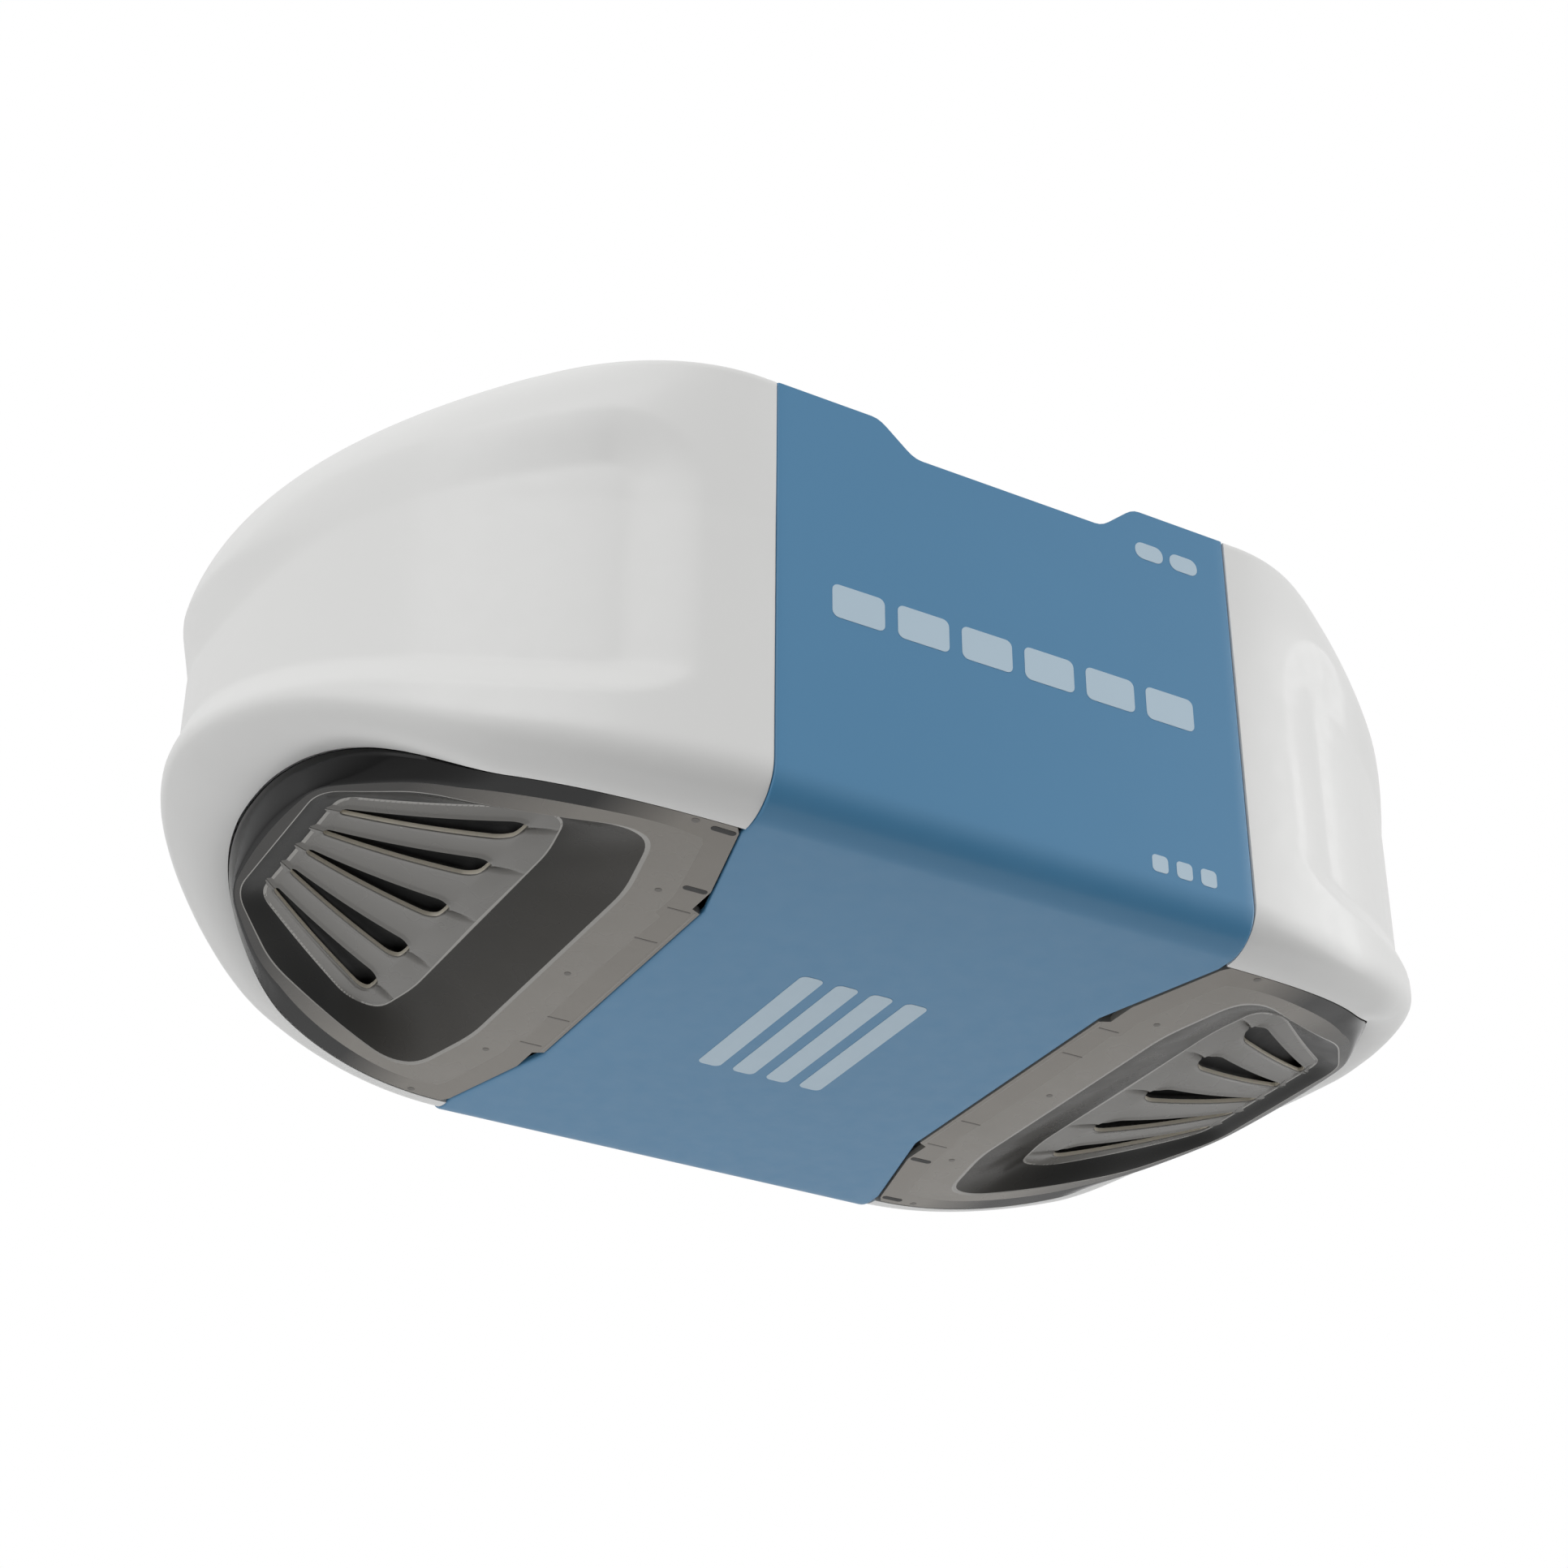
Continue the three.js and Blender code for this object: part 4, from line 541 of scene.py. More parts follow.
# pale beige for the slots' edge faces: a painted highlight of the louvre edges catching the light
LENS_BLADE_HIGHLIGHT = smoked("smoked_blade_painted_highlight", (0.86, 0.80, 0.68), 0.28, 0.3)
# near-black: painted shade on the hoods seen through the slots; the flange latches use the same black
LENS_HOOD = moulded("hood_shade_latch_black", (0.004, 0.004, 0.004), 0.5, 500, 0.01, 0.1)
LENS_PIN = smoked("smoked_pin", (0.115, 0.105, 0.092), 0.35, 0.1)
BLACK = moulded("black_plastic", (0.018, 0.018, 0.019), 0.45, 700, 0.02, 0.15, wear=(0.06, 0.06, 0.062))
DARK_PANEL = moulded("panel_plastic", (0.028, 0.029, 0.031), 0.42, 600, 0.02, 0.1, wear=(0.09, 0.09, 0.092))
ZINC = galvanised()
MOTOR_STEEL = metal("motor_steel", (0.42, 0.43, 0.44), 0.42, (700, 60, 60))
CAST = cast("cast_aluminium", (0.52, 0.52, 0.51))
SHAFT = metal("shaft_steel", (0.60, 0.61, 0.62), 0.22, (80, 80, 900))
BRASS = metal("bush_brass", (0.56, 0.39, 0.14), 0.3, (90, 90, 600))
NYLON = moulded("gear_nylon", (0.72, 0.68, 0.54), 0.45, 500, 0.01, 0.04)
RUBBER = moulded("isolator_rubber", (0.012, 0.012, 0.012), 0.8, 300, 0.04, 0.2)
CORE = laminated()
TAPE = taped()
BOARD = circuit()
RELAY = moulded("relay_blue", (0.025, 0.075, 0.24), 0.4, 500, 0.01, 0.05)
CERAMIC = glazed()
YELLOW = moulded("learn_yellow", (0.66, 0.45, 0.03), 0.38, 600, 0.01, 0.04)
RED = moulded("tab_red", (0.46, 0.03, 0.022), 0.38, 600, 0.01, 0.05)
GREY = moulded("tab_grey", (0.26, 0.27, 0.28), 0.42, 600, 0.01, 0.05)

FINISH = {
    "blue_paint": BLUE, "white_shell": WHITE, "smoked_lens": LENS_FLANGE_LIT_AND_SHADED, "zinc_steel": ZINC,
    "black_plastic": BLACK, "motor_steel": MOTOR_STEEL, "cast_aluminium": CAST,
    "shaft_steel": SHAFT, "bush_brass": BRASS, "gear_nylon": NYLON, "isolator_rubber": RUBBER,
    "core_steel": CORE, "winding_tape": TAPE, "board_green": BOARD, "relay_blue": RELAY,
    "ceramic": CERAMIC, "learn_yellow": YELLOW, "tab_red": RED, "tab_grey": GREY,
}


# ---------------------------------------------------------------- end covers

def underside_height(x):
    return LENS_RISE * ramp(x, LENS_ROOT, LENS_REACH) ** 2


def edge_lift(x):
    return LENS_EDGE_LIFT * smooth(x, *LENS_LIFT_X)


def wall_point(angle, z, inwards):
    above = ramp(z, BELLY_HEIGHT, HEIGHT)
    crown = CROWN * ramp(z, CROWN_START, HEIGHT) ** CROWN_POWER
    return plan_point(angle, COVER_ROOT + TOP_ROOT_SHIFT * above,
                      COVER_REACH - LEAN * above ** LEAN_POWER - crown - inwards,
                      HALF_DEPTH - inwards, COVER_EXPONENT + TOP_EXPONENT_SHIFT * above)


def round_corner(a, b):
    """Distance from two borders that meet in a rounded corner."""
    if max(a, b) >= PANEL_CORNER:
        return min(a, b)
    return PANEL_CORNER - math.hypot(PANEL_CORNER - a, PANEL_CORNER - b)


def panel_sink(x, z):
    ceiling = (PANEL_CEILING - PANEL_CEILING_SLOPE * max(x - PANEL_CEILING_FROM, 0)
               - PANEL_NOSE_DIP * ramp(x, PANEL_NOSE_FROM, COVER_REACH) ** 2)
    sill = PANEL_SILL + PANEL_SILL_RISE * ramp(x, PANEL_SILL_FROM, COVER_REACH) ** PANEL_SILL_POWER
    start, end = PANEL_START
    beside = (x - start) / (end - start)
    under_ceiling = (ceiling - z) / PANEL_CEILING_BEVEL
    over_sill = (z - sill) / PANEL_SILL_BEVEL
    depth = min(round_corner(beside, under_ceiling), round_corner(beside, over_sill))
    # rounded crease where the bevel starts and where it meets the floor
    rounded = 0.72 * ramp(depth, 0, 1) + 0.28 * smooth(depth, -0.06, 1.06)
    return PANEL_DEPTH * rounded


LIP_STEPS = 12
WALL_STEPS = 90
WALL_CROWDING = 1.15
TOP_STEPS = (1, 0.997, 0.99, 0.97, 0.9, 0.7, 0.4, 0)
COVER_COLUMNS = 220


def cover_column(angle, inset):
    reach = LENS_REACH + LENS_GAP
    edge = plan_point(angle, LENS_ROOT, reach, LENS_HALF_DEPTH + LENS_GAP, LENS_EXPONENT)
    root = BAND_HALF + GAP
    out = ramp(edge[0], LENS_ROOT, reach)
    foot = (underside_height(edge[0]) + edge_lift(edge[0])
            + LIP_STANDOFF * smooth(edge[0], *LENS_LIFT_X))
    lip_height = LIP_HEIGHT - LIP_NARROWING * out
    lip_top = foot + lip_height
    lip_outer = wall_point(angle, lip_top, inset)
    span = math.dist(lip_outer, edge) or 1
    inner = [a + (b - a) * inset / span for a, b in zip(edge, lip_outer)]
    points = [(*inner, foot + COVER_WALL + TOP_ROUND)]
    for i in range(LIP_STEPS + 1):
        turn = math.pi / 2 * i / LIP_STEPS
        x, y = (a + (b - a) * math.sin(turn) for a, b in zip(inner, lip_outer))
        points.append((x, y, foot + inset + (lip_height - inset) * (1 - math.cos(turn))))
    top = HEIGHT - inset
    for i in range(1, WALL_STEPS + 1):
        z = top - TOP_ROUND - (top - TOP_ROUND - lip_top) * (1 - i / WALL_STEPS) ** WALL_CROWDING
        flush = wall_point(angle, z, inset)
        points.append((*wall_point(angle, z, inset + panel_sink(flush[0], z)), z))
    rim = wall_point(angle, top, inset)
    for fraction in TOP_STEPS:
        drop = 0.3 * TOP_ROUND * (fraction == 1)
        points.append((root + (rim[0] - root) * fraction, rim[1] * fraction, top - drop))
    if abs(angle) > math.pi / 2 - 1e-6:
        return [(root, y, z) for x, y, z in points]
    return [(max(x, root), y, z) for x, y, z in points]


def end_cover():
    # columns crowd together where the outline turns at the outer end and beside the band
    angles = [math.pi / 2 * math.sin(math.pi / 2 * t) for t in spread(-1, 1, COVER_COLUMNS)]
    skins = [[cover_column(angle, inset) for angle in angles] for inset in (0, COVER_WALL)]
    return thick_grid(*skins)[:2]


cover_verts, cover_faces = end_cover()
new_piece("right_cover_shell", cover_verts, cover_faces, "frame", 40,
          ["right_end_cover"], mats=[WHITE])
new_piece("left_cover_shell", mirrored(cover_verts), cover_faces, "frame", 40,
          ["left_end_cover"], mats=[WHITE])


# ---------------------------------------------------------------- cover band

BEND_STEPS = 18
RISE_ROWS = (0.3, 0.6, 0.9, 1)   # rows above WALL_TOP, as parts of the way to the top edge
# the rolled side edges: (mm in from the edge, how far below the face)
EDGE_ROLL = [(0, 1.0), (0.12, 0.62), (0.35, 0.3), (0.7, 0.09), (1.2, 0)]


def band_half_width(y, z):
    """The band narrows on its underside, between the lenses."""
    if z > 5:
        return BAND_HALF
    return lerp(WAIST_HALF, BAND_HALF, ramp(abs(y), WAIST_END, WAIST_START))


def band_top(x):
    """Upper edge of the band: a notch with ramped, slightly rounded ends."""
    across = abs(x)
    total, reach = 0, 2.4
    for shift in (-1, -0.5, 0, 0.5, 1):
        total += ramp(across + shift * reach, NOTCH_HALF, NOTCH_HALF + NOTCH_RAMP)
    return NOTCH_FLOOR + (HEIGHT - NOTCH_FLOOR) * total / 5


def band_path():
    """Places along the sheet, from the front's top edge to the back's: (y, z, outward y, outward z).
    Above WALL_TOP z is ("rise", part), the part of the way up to the notched top edge."""
    y = HALF_DEPTH - PROUD
    bottom = PROUD
    window_z = [PANEL_LOW[2] + WINDOW_MARGIN, PANEL_HIGH[2] - WINDOW_MARGIN]
    wall = sorted(set([BAND_BEND] + window_z + spread(20, WALL_TOP, 32)))
    rows = [(-y, ("rise", t), -1, 0) for t in reversed(RISE_ROWS)]
    rows += [(-y, z, -1, 0) for z in reversed(wall)][:-1]
    centre_y, centre_z = y - BAND_BEND, bottom + BAND_BEND
    for i in range(BEND_STEPS + 1):
        turn = math.pi / 2 * i / BEND_STEPS
        rows.append((-centre_y - BAND_BEND * math.cos(turn), centre_z - BAND_BEND * math.sin(turn),
                     -math.cos(turn), -math.sin(turn)))
    waist = [side * v for side in (-1, 1) for v in (WAIST_END, WAIST_START)]
    flat = sorted(set(spread(-centre_y, centre_y, 60) + waist))
    rows += [(v, bottom, 0, -1) for v in flat[1:-1]]
    for i in range(BEND_STEPS + 1):
        turn = math.pi / 2 * (1 - i / BEND_STEPS)
        rows.append((centre_y + BAND_BEND * math.cos(turn), centre_z - BAND_BEND * math.sin(turn),
                     math.cos(turn), -math.sin(turn)))
    rows += [(y, z, 1, 0) for z in wall][1:]
    rows += [(y, ("rise", t), 1, 0) for t in RISE_ROWS]
    return rows


def cover_band():
    window_x = (PANEL_LOW[0] + WINDOW_MARGIN, PANEL_HIGH[0] - WINDOW_MARGIN)
    window_z = (PANEL_LOW[2] + WINDOW_MARGIN, PANEL_HIGH[2] - WINDOW_MARGIN)
    inner_stations = sorted(set(spread(-FLAT_HALF, FLAT_HALF, FLAT_COLUMNS) + list(window_x)))

    def row_points(y, z, out_y, out_z, depth):
        half = band_half_width(y, z if not isinstance(z, tuple) else HEIGHT)
        across = [(-half + offset, sink) for offset, sink in EDGE_ROLL]
        flat_half = half - EDGE_ROLL[-1][0] - 2
        across += [(flat_half / FLAT_HALF * v if half < BAND_HALF else v, 0) for v in inner_stations]
        across += [(half - offset, sink) for offset, sink in reversed(EDGE_ROLL)]
        points = []
        for x, sink in across:
            level = z
            if isinstance(z, tuple):
                level = lerp(WALL_TOP, band_top(x), z[1])
            points.append((x, y - out_y * (sink + depth), level - out_z * (sink + depth)))
        return points

    path = band_path()
    outer = [row_points(*place, 0) for place in path]
    inner = [row_points(*place, BAND_SHEET) for place in path]

    def hole(r, c):
        (y, z, out_y, _), (_, z2, _, _) = path[r], path[r + 1]
        if out_y != 1 or isinstance(z2, tuple):
            return False
        x = (outer[r][c][0] + outer[r][c + 1][0]) / 2
        return window_x[0] < x < window_x[1] and window_z[0] < (z + z2) / 2 < window_z[1]

    return thick_grid(outer, inner, hole=hole)[:2]


band_verts, band_faces = cover_band()
new_piece("band_sheet", band_verts, band_faces, "frame", 50, ["cover_band"], mats=[BLUE])


# ---------------------------------------------------------------- light lenses

RING_COLUMNS = 360
PLATE_LOUVRES = [(-59, -31), (-32, -15.5), (0, 0), (32, 15.5), (59, 31)]
LOUVRE_X = (151, 194)
LOUVRE_RADII = (6.3, 1.9)
PLATE_SPAN = (-0.62, 4.62)
PLATE_X = (131.5, 200.5)


def lens_outline():
    inner = WAIST_HALF + LENS_GAP
    root = BAND_HALF + LENS_GAP
    angles = spread(-math.pi / 2, math.pi / 2, 240)
    outer = [plan_point(a, LENS_ROOT, LENS_REACH, LENS_HALF_DEPTH, LENS_EXPONENT) for a in angles]
    outer[0] = (root, outer[0][1])
    outer[-1] = (root, outer[-1][1])
    relief = HINGE_X + HINGE_RELIEF
    back = [(root, WAIST_START), (relief, WAIST_END + 13), (relief, WAIST_END), (inner, WAIST_END - 2)]
    return outer + back + [(x, -y) for x, y in reversed(back)]


def dish_lift(x):
    return lerp(DISH_DEPTH_INNER, DISH_DEPTH_OUTER, ramp(x, *DISH_SLOPE_X))


# parts of the way across the dish's wall, the flange and the turned-up edge, where rows of points lie
WALL_ROWS = (0.02, 0.05, 0.09, 0.14, 0.22, 0.35, 0.5, 0.65, 0.78, 0.86, 0.91, 0.95, 0.98, 1.0)
FLANGE_ROWS = (0.02, 0.05, 0.1, 0.3, 0.5, 0.7, 0.8)
EDGE_ROWS = (0, 0.15, 0.3, 0.45, 0.6, 0.72, 0.84, 0.93, 1.0)
RIM_FROM = 0.97                  # the wall's last part, which carries the rim's painted highlight


def lens_ring():
    """The lens around its louvred plate: dish wall, flange and turned-up edge, as a closed ring."""
    outline = lens_outline()
    rim = rounded_outline(DISH_RIM, RIM_CORNER)
    floor = rounded_outline(DISH_FLOOR, FLOOR_CORNER)
    corners = [math.atan2(y, x - DISH_CENTRE[0]) for x, y in outline[-8:]]
    angles = spread(-math.pi, math.pi, RING_COLUMNS)[:-1]
    for target in corners:
        nearest = min(range(len(angles)), key=lambda i: abs(angles[i] - target))
        angles[nearest] = target
    reaches = [(ray_reach(a, floor, DISH_CENTRE), ray_reach(a, rim, DISH_CENTRE),
                ray_reach(a, outline, DISH_CENTRE)) for a in angles]
    # rows: (stage, part of the way, dish depth, edge lift, zone). The stages are the dish's wall 0,
    # the flange 1 and the turned-up edge 2. The first row lies 1.2 mm inside the dish's floor, so
    # that the ring overlaps the louvred plate.
    # the "rim" rows, at the plate's border and the top of the dish's wall, carry a painted highlight
    rows = [(0, -1.2, 1.0, 0, "plate"), (0, 0, 1.0, 0, "rim")]
    rows += [(0, t, 1 - (0.3 * smooth(t, 0, 1) + 0.7 * t), 0, "rim" if t > RIM_FROM else "dish")
             for t in WALL_ROWS]
    rows += [(1, t, 0, 0, "flange") for t in FLANGE_ROWS]
    rows += [(2, t, 0, t, "band") for t in EDGE_ROWS]
    grid = []
    for stage, t, dish, lift, zone in rows:
        points = []
        for angle, (r_floor, r_rim, r_edge) in zip(angles, reaches):
            width = min(EDGE_BAND, 0.5 * (r_edge - r_rim))
            band_start = r_edge - width
            if stage == 0:
                reach = lerp(r_floor, r_rim, t) if t >= 0 else r_floor + t
            elif stage == 1:
                reach = lerp(r_rim, band_start, t)
            else:
                reach = lerp(band_start, r_edge, t)
            x = DISH_CENTRE[0] + reach * math.cos(angle)
            y = DISH_CENTRE[1] + reach * math.sin(angle)
            x = clamp(x, WAIST_HALF + LENS_GAP, LENS_REACH)
            z = (underside_height(x) + dish_lift(x) * dish + edge_lift(x) * lift ** EDGE_LIFT_POWER
                 + PROUD)
            points.append((x, y, z))
        grid.append(points)
    thick = [[(x, y, z + LENS_WALL) for x, y, z in points] for points in grid]
    verts, faces, kinds = thick_grid(grid, thick, ring=True)
    zones = [rows[min(r + 1, len(rows) - 1)][4] for _, r, _ in kinds]
    return verts, faces, zones


def louvre_axis(f, x):
    """y of a place on the plate, f being 0 to 4 on the louvres' own axes."""
    i = int(clamp(math.floor(f), 0, 3))
    part = f - i
    inner = lerp(PLATE_LOUVRES[i][0], PLATE_LOUVRES[i + 1][0], part)
    tip = lerp(PLATE_LOUVRES[i][1], PLATE_LOUVRES[i + 1][1], part)
    return lerp(inner, tip, (x - LOUVRE_X[0]) / (LOUVRE_X[1] - LOUVRE_X[0]))


def slot_half_width(x):
    """Half width of a louvre slot: round inner end, taper, small round tip."""
    (x0, x1), (r0, r1) = LOUVRE_X, LOUVRE_RADII
    if x < x0:
        return r0 * math.sqrt(max(1 - ((x0 - x) / r0) ** 2, 0))
    if x > x1:
        return r1 * math.sqrt(max(1 - ((x - x1) / r1) ** 2, 0))
    return lerp(r0, r1, (x - x0) / (x1 - x0))


def plate_stations():
    (x0, x1), (r0, r1) = LOUVRE_X, LOUVRE_RADII
    inner_end = [x0 - r0 * math.cos(math.pi / 2 * i / 8) for i in range(9)]
    tip_end = [x1 + r1 * math.sin(math.pi / 2 * i / 6) for i in range(7)]
    return sorted(set([PLATE_X[0], 134, 137, 140, 143] + inner_end + spread(x0, x1, 30) + tip_end
                      + [197, PLATE_X[1]]))


# across one louvre, from its slot outwards: (mm from the slot's edge, drop of the lower face,
# drop of the upper face, rise of the lower and of the upper face where the slot has ended)
COLLAR = [(0.0, 0.15, 1.0, 1.9, 1.7), (0.35, 0.5, 0.9, 1.5, 1.4), (0.9, 0.45, 0.55, 0.7, 0.7),
          (1.8, 0.15, 0.15, 0.15, 0.15), (3.0, 0.0, 0.0, 0.0, 0.0)]


def louvre_heights(x, drop_low, drop_high, rise_low, rise_high):
    """Heights of the lower and upper face beside a slot: a rolled collar round the slot,
    then a crease that runs on towards the band and fades out."""
    collar = smooth(x, 142, 147)
    crease = smooth(x, 134, 143) * (1 - smooth(x, 143.5, 146.5))
    return rise_low * crease - drop_low * collar, rise_high * crease - drop_high * collar


def louvre_plate():
    xs = plate_stations()
    lower, upper, zones = [], [], []
    for x in xs:
        half = slot_half_width(x)
        base = underside_height(x) + dish_lift(x) + PROUD
        row_low, row_up = [], []

        def put(y, low, high):
            row_low.append((x, y, base + low))
            row_up.append((x, y, base + LENS_WALL + high))

        put(louvre_axis(PLATE_SPAN[0], x), 0, 0)
        for i in range(5):
            axis = louvre_axis(i, x)
            before = louvre_axis(i - 0.5 if i else PLATE_SPAN[0] * 0.75, x)
            after = louvre_axis(i + 0.5 if i < 4 else lerp(4, PLATE_SPAN[1], 0.75), x)
            put(before, 0, 0)
            for extra, *heights in reversed(COLLAR):
                put(axis - min(half + extra, (axis - before) * (0.97 - 0.05 * (3 - extra))),
                    *louvre_heights(x, *heights))
            for extra, *heights in COLLAR:
                put(axis + min(half + extra, (after - axis) * (0.97 - 0.05 * (3 - extra))),
                    *louvre_heights(x, *heights))
        put(louvre_axis(PLATE_SPAN[1], x), 0, 0)
        lower.append(row_low)
        upper.append(row_up)
    per = 1 + 2 * len(COLLAR)
    slots = [i * per + 1 + len(COLLAR) for i in range(5)]
    first, last = LOUVRE_X[0] - LOUVRE_RADII[0], LOUVRE_X[1] + LOUVRE_RADII[1]

    def hole(r, c):
        middle = (xs[r] + xs[r + 1]) / 2
        return c in slots and first - 1e-6 < middle < last + 1e-6

    verts, faces, kinds = thick_grid(lower, upper, hole=hole)
    # the slots' edge faces take the pale blade tone, a painted highlight
    zones = ["blade" if kind == "edge" and 0 < c < len(lower[0]) - 2 and 0 < r < len(xs) - 2 else "plate"
             for kind, r, c in kinds]
    return verts, faces, zones


HOOD_RISE = 3.4
HOOD_SHEET = 1.0
HOOD_OVERLAP = 2.2


def louvre_hoods():
    """Near-black arched hoods on the inside of the slots, which keep the lamps out of sight: painted shade
    for the shadowed inside of the louvres.
    """
    pieces = []
    first = LOUVRE_X[0] - LOUVRE_RADII[0] - HOOD_OVERLAP
    last = LOUVRE_X[1] + LOUVRE_RADII[1] + HOOD_OVERLAP
    for i in range(5):
        lower, upper = [], []
        for x in spread(first, last, 28):
            half = slot_half_width(clamp(x, LOUVRE_X[0] - 3, LOUVRE_X[1])) + HOOD_OVERLAP
            closing = math.sqrt(ramp(x, first, first + 5) * ramp(-x, -last, -last + 4))
            axis = louvre_axis(i, x)
            foot = underside_height(x) + dish_lift(x) + LENS_WALL + PROUD - 0.6
            row_low, row_up = [], []
            for k in range(13):
                turn = math.pi * k / 12
                y = axis - half * math.cos(turn)
                rise = HOOD_RISE * math.sin(turn) ** 0.7 * closing
                row_low.append((x, y, foot + rise))
                row_up.append((x, y, foot + rise + HOOD_SHEET))
            lower.append(row_low)
            upper.append(row_up)
        pieces.append(thick_grid(lower, upper)[:2])
    return pieces


def bead():
    """Round inner edge that the hinge bar holds."""
    sides = 20
    ends = [-WAIST_END + 2, -WAIST_END + 2.3, WAIST_END - 2.3, WAIST_END - 2]
    radii = [BEAD_RADIUS - 0.4, BEAD_RADIUS - 0.05, BEAD_RADIUS - 0.05, BEAD_RADIUS - 0.4]
    verts = []
    for y, r in zip(ends, radii):
        turns = [2 * math.pi * k / sides for k in range(sides)]
        verts += [(HINGE_X + r * math.cos(a), y, BEAD_RADIUS + r * math.sin(a)) for a in turns]
    faces = []
    for ring in range(len(ends) - 1):
        here, beyond = ring * sides, (ring + 1) * sides
        faces += [[here + k, here + (k + 1) % sides, beyond + (k + 1) % sides, beyond + k]
                  for k in range(sides)]
    faces.append(list(reversed(range(sides))))
    faces.append(list(range(3 * sides, 4 * sides)))
    return verts, faces


def joined(parts):
    """One mesh from several (verts, faces, material index) parts."""
    verts, faces, indices = [], [], []
    for part_verts, part_faces, material in parts:
        offset = len(verts)
        verts += part_verts
        faces += [[v + offset for v in face] for face in part_faces]
        indices += material if isinstance(material, list) else [material] * len(part_faces)
    return verts, faces, indices


LENS_FINISH = {
    "flange": LENS_FLANGE_LIT_AND_SHADED, "dish": LENS_DISH_SHADE, "plate": LENS_PLATE, "band": LENS_EDGE,
    "blade": LENS_BLADE_HIGHLIGHT, "hood": LENS_HOOD, "rim": LENS_RIM_HIGHLIGHT, "pin": LENS_PIN,
}
LENS_MATS = list(LENS_FINISH.values())
ZONE_INDEX = {zone: i for i, zone in enumerate(LENS_FINISH)}
# seen on the flange from below
PINS = [(109, 113, 1.3), (109, -113, 1.3), (99, 68, 1.2), (99, -68, 1.2), (99, 0, 1.2)]  # x, y, radius
RIBS = [(y, 82.5, 91) for y in (-56, -33, 35, 59)]                                       # y, from x, to x
LATCHES = [(112, 94.2, 103), (74, 84.2, 93)]                                             # the same
RIB_BAR = (0.7, 0.3)             # width and corner radius
LATCH_BAR = (2.6, 1.25)


def rounded_bar(centre, size, radius, steps=5):
    """Outline of a bar with rounded corners, in its own plane."""
    (cx, cy), (w, h) = centre, size
    points = []
    for sx, sy, start in ((1, 1, 0), (-1, 1, 90), (-1, -1, 180), (1, -1, 270)):
        for k in range(steps + 1):
            turn = math.radians(start + 90 * k / steps)
            points.append((cx + sx * (w / 2 - radius) + radius * math.cos(turn),
                           cy + sy * (h / 2 - radius) + radius * math.sin(turn)))
    return points


def circle(centre, radius, sides=20):
    return [(centre[0] + radius * math.cos(2 * math.pi * k / sides),
             centre[1] + radius * math.sin(2 * math.pi * k / sides)) for k in range(sides)]


def slab(outline, place):
    """Thin closed plate from an outline. place(u, v, raised) gives its points."""
    count = len(outline)
    verts = [place(u, v, 0.0) for u, v in outline] + [place(u, v, 1.0) for u, v in outline]
    faces = [list(range(count)), list(reversed(range(count, 2 * count)))]
    faces += [[k, (k + 1) % count, count + (k + 1) % count, count + k] for k in range(count)]
    return verts, faces


MARK_SUNK = 0.05                 # marks start below the skin, so that the two never lie in one plane
FLANGE_MARK = 0.15               # thickness of the marks on the flange


def on_flange(outline):
    def place(x, y, raised):
        return (x, y, underside_height(x) + PROUD + MARK_SUNK - FLANGE_MARK * raised)

    return slab(outline, place)


def flange_bars(places, bar, zone):
    width, radius = bar
    return [(*on_flange(rounded_bar(((a + b) / 2, y), (b - a, width), radius)), ZONE_INDEX[zone])
            for y, a, b in places]


def light_lens():
    ring_verts, ring_faces, ring_zones = lens_ring()
    plate_verts, plate_faces, plate_zones = louvre_plate()
    parts = [(ring_verts, ring_faces, [ZONE_INDEX[zone] for zone in ring_zones]),
             (plate_verts, plate_faces, [ZONE_INDEX[zone] for zone in plate_zones]),
             (*bead(), ZONE_INDEX["flange"])]
    parts += [(verts, faces, ZONE_INDEX["hood"]) for verts, faces in louvre_hoods()]
    parts += [(*on_flange(circle((x, y), radius)), ZONE_INDEX["pin"]) for x, y, radius in PINS]
    parts += flange_bars(RIBS, RIB_BAR, "pin")
    parts += flange_bars(LATCHES, LATCH_BAR, "hood")
    return joined(parts)


lens_verts, lens_faces, lens_mats = light_lens()
new_piece("right_lens_shell", lens_verts, lens_faces, "right_lens", 40,
          ["right_light_lens"], lens_mats, LENS_MATS)
new_piece("left_lens_shell", turned_about(lens_verts), lens_faces, "left_lens", 40,
          ["left_light_lens"], lens_mats, LENS_MATS)


# ---------------------------------------------------------------- printed marks

def printed(name, outlines, place):
    verts, faces, _ = joined([(*slab(outline, place), 0) for outline in outlines])
    new_piece(name, verts, faces, "frame", 40, mats=[MARK])


MARK_RISE = 0.12                 # above the paint


def on_front(u, v, raised):
    return (u, -HALF_DEPTH + PROUD + MARK_SUNK - (MARK_RISE + MARK_SUNK) * raised, v)


def on_underside(u, v, raised):
    return (u, v, PROUD + MARK_SUNK - (MARK_RISE + MARK_SUNK) * raised)


def bars(centres, size, radius):
    return [rounded_bar(centre, size, radius) for centre in centres]


# plain bars and squares stand where the printed words and badges are
printed("front_stripe_mark", bars([(x, 84) for x in (-62, -37, -12, 13, 38, 63)], (20, 13), 2.5), on_front)
printed("front_badge_mark", bars([(59, 149), (74, 149)], (12, 7), 3.2), on_front)
printed("front_corner_mark", bars([(54, 20), (64, 20), (74, 20)], (6.5, 6.5), 1.6), on_front)
printed("underside_mark", bars([(x, 0) for x in (-24, -10, 4, 18)], (9, 78), 2.5), on_underside)


# ---------------------------------------------------------------- CAD nodes that stay

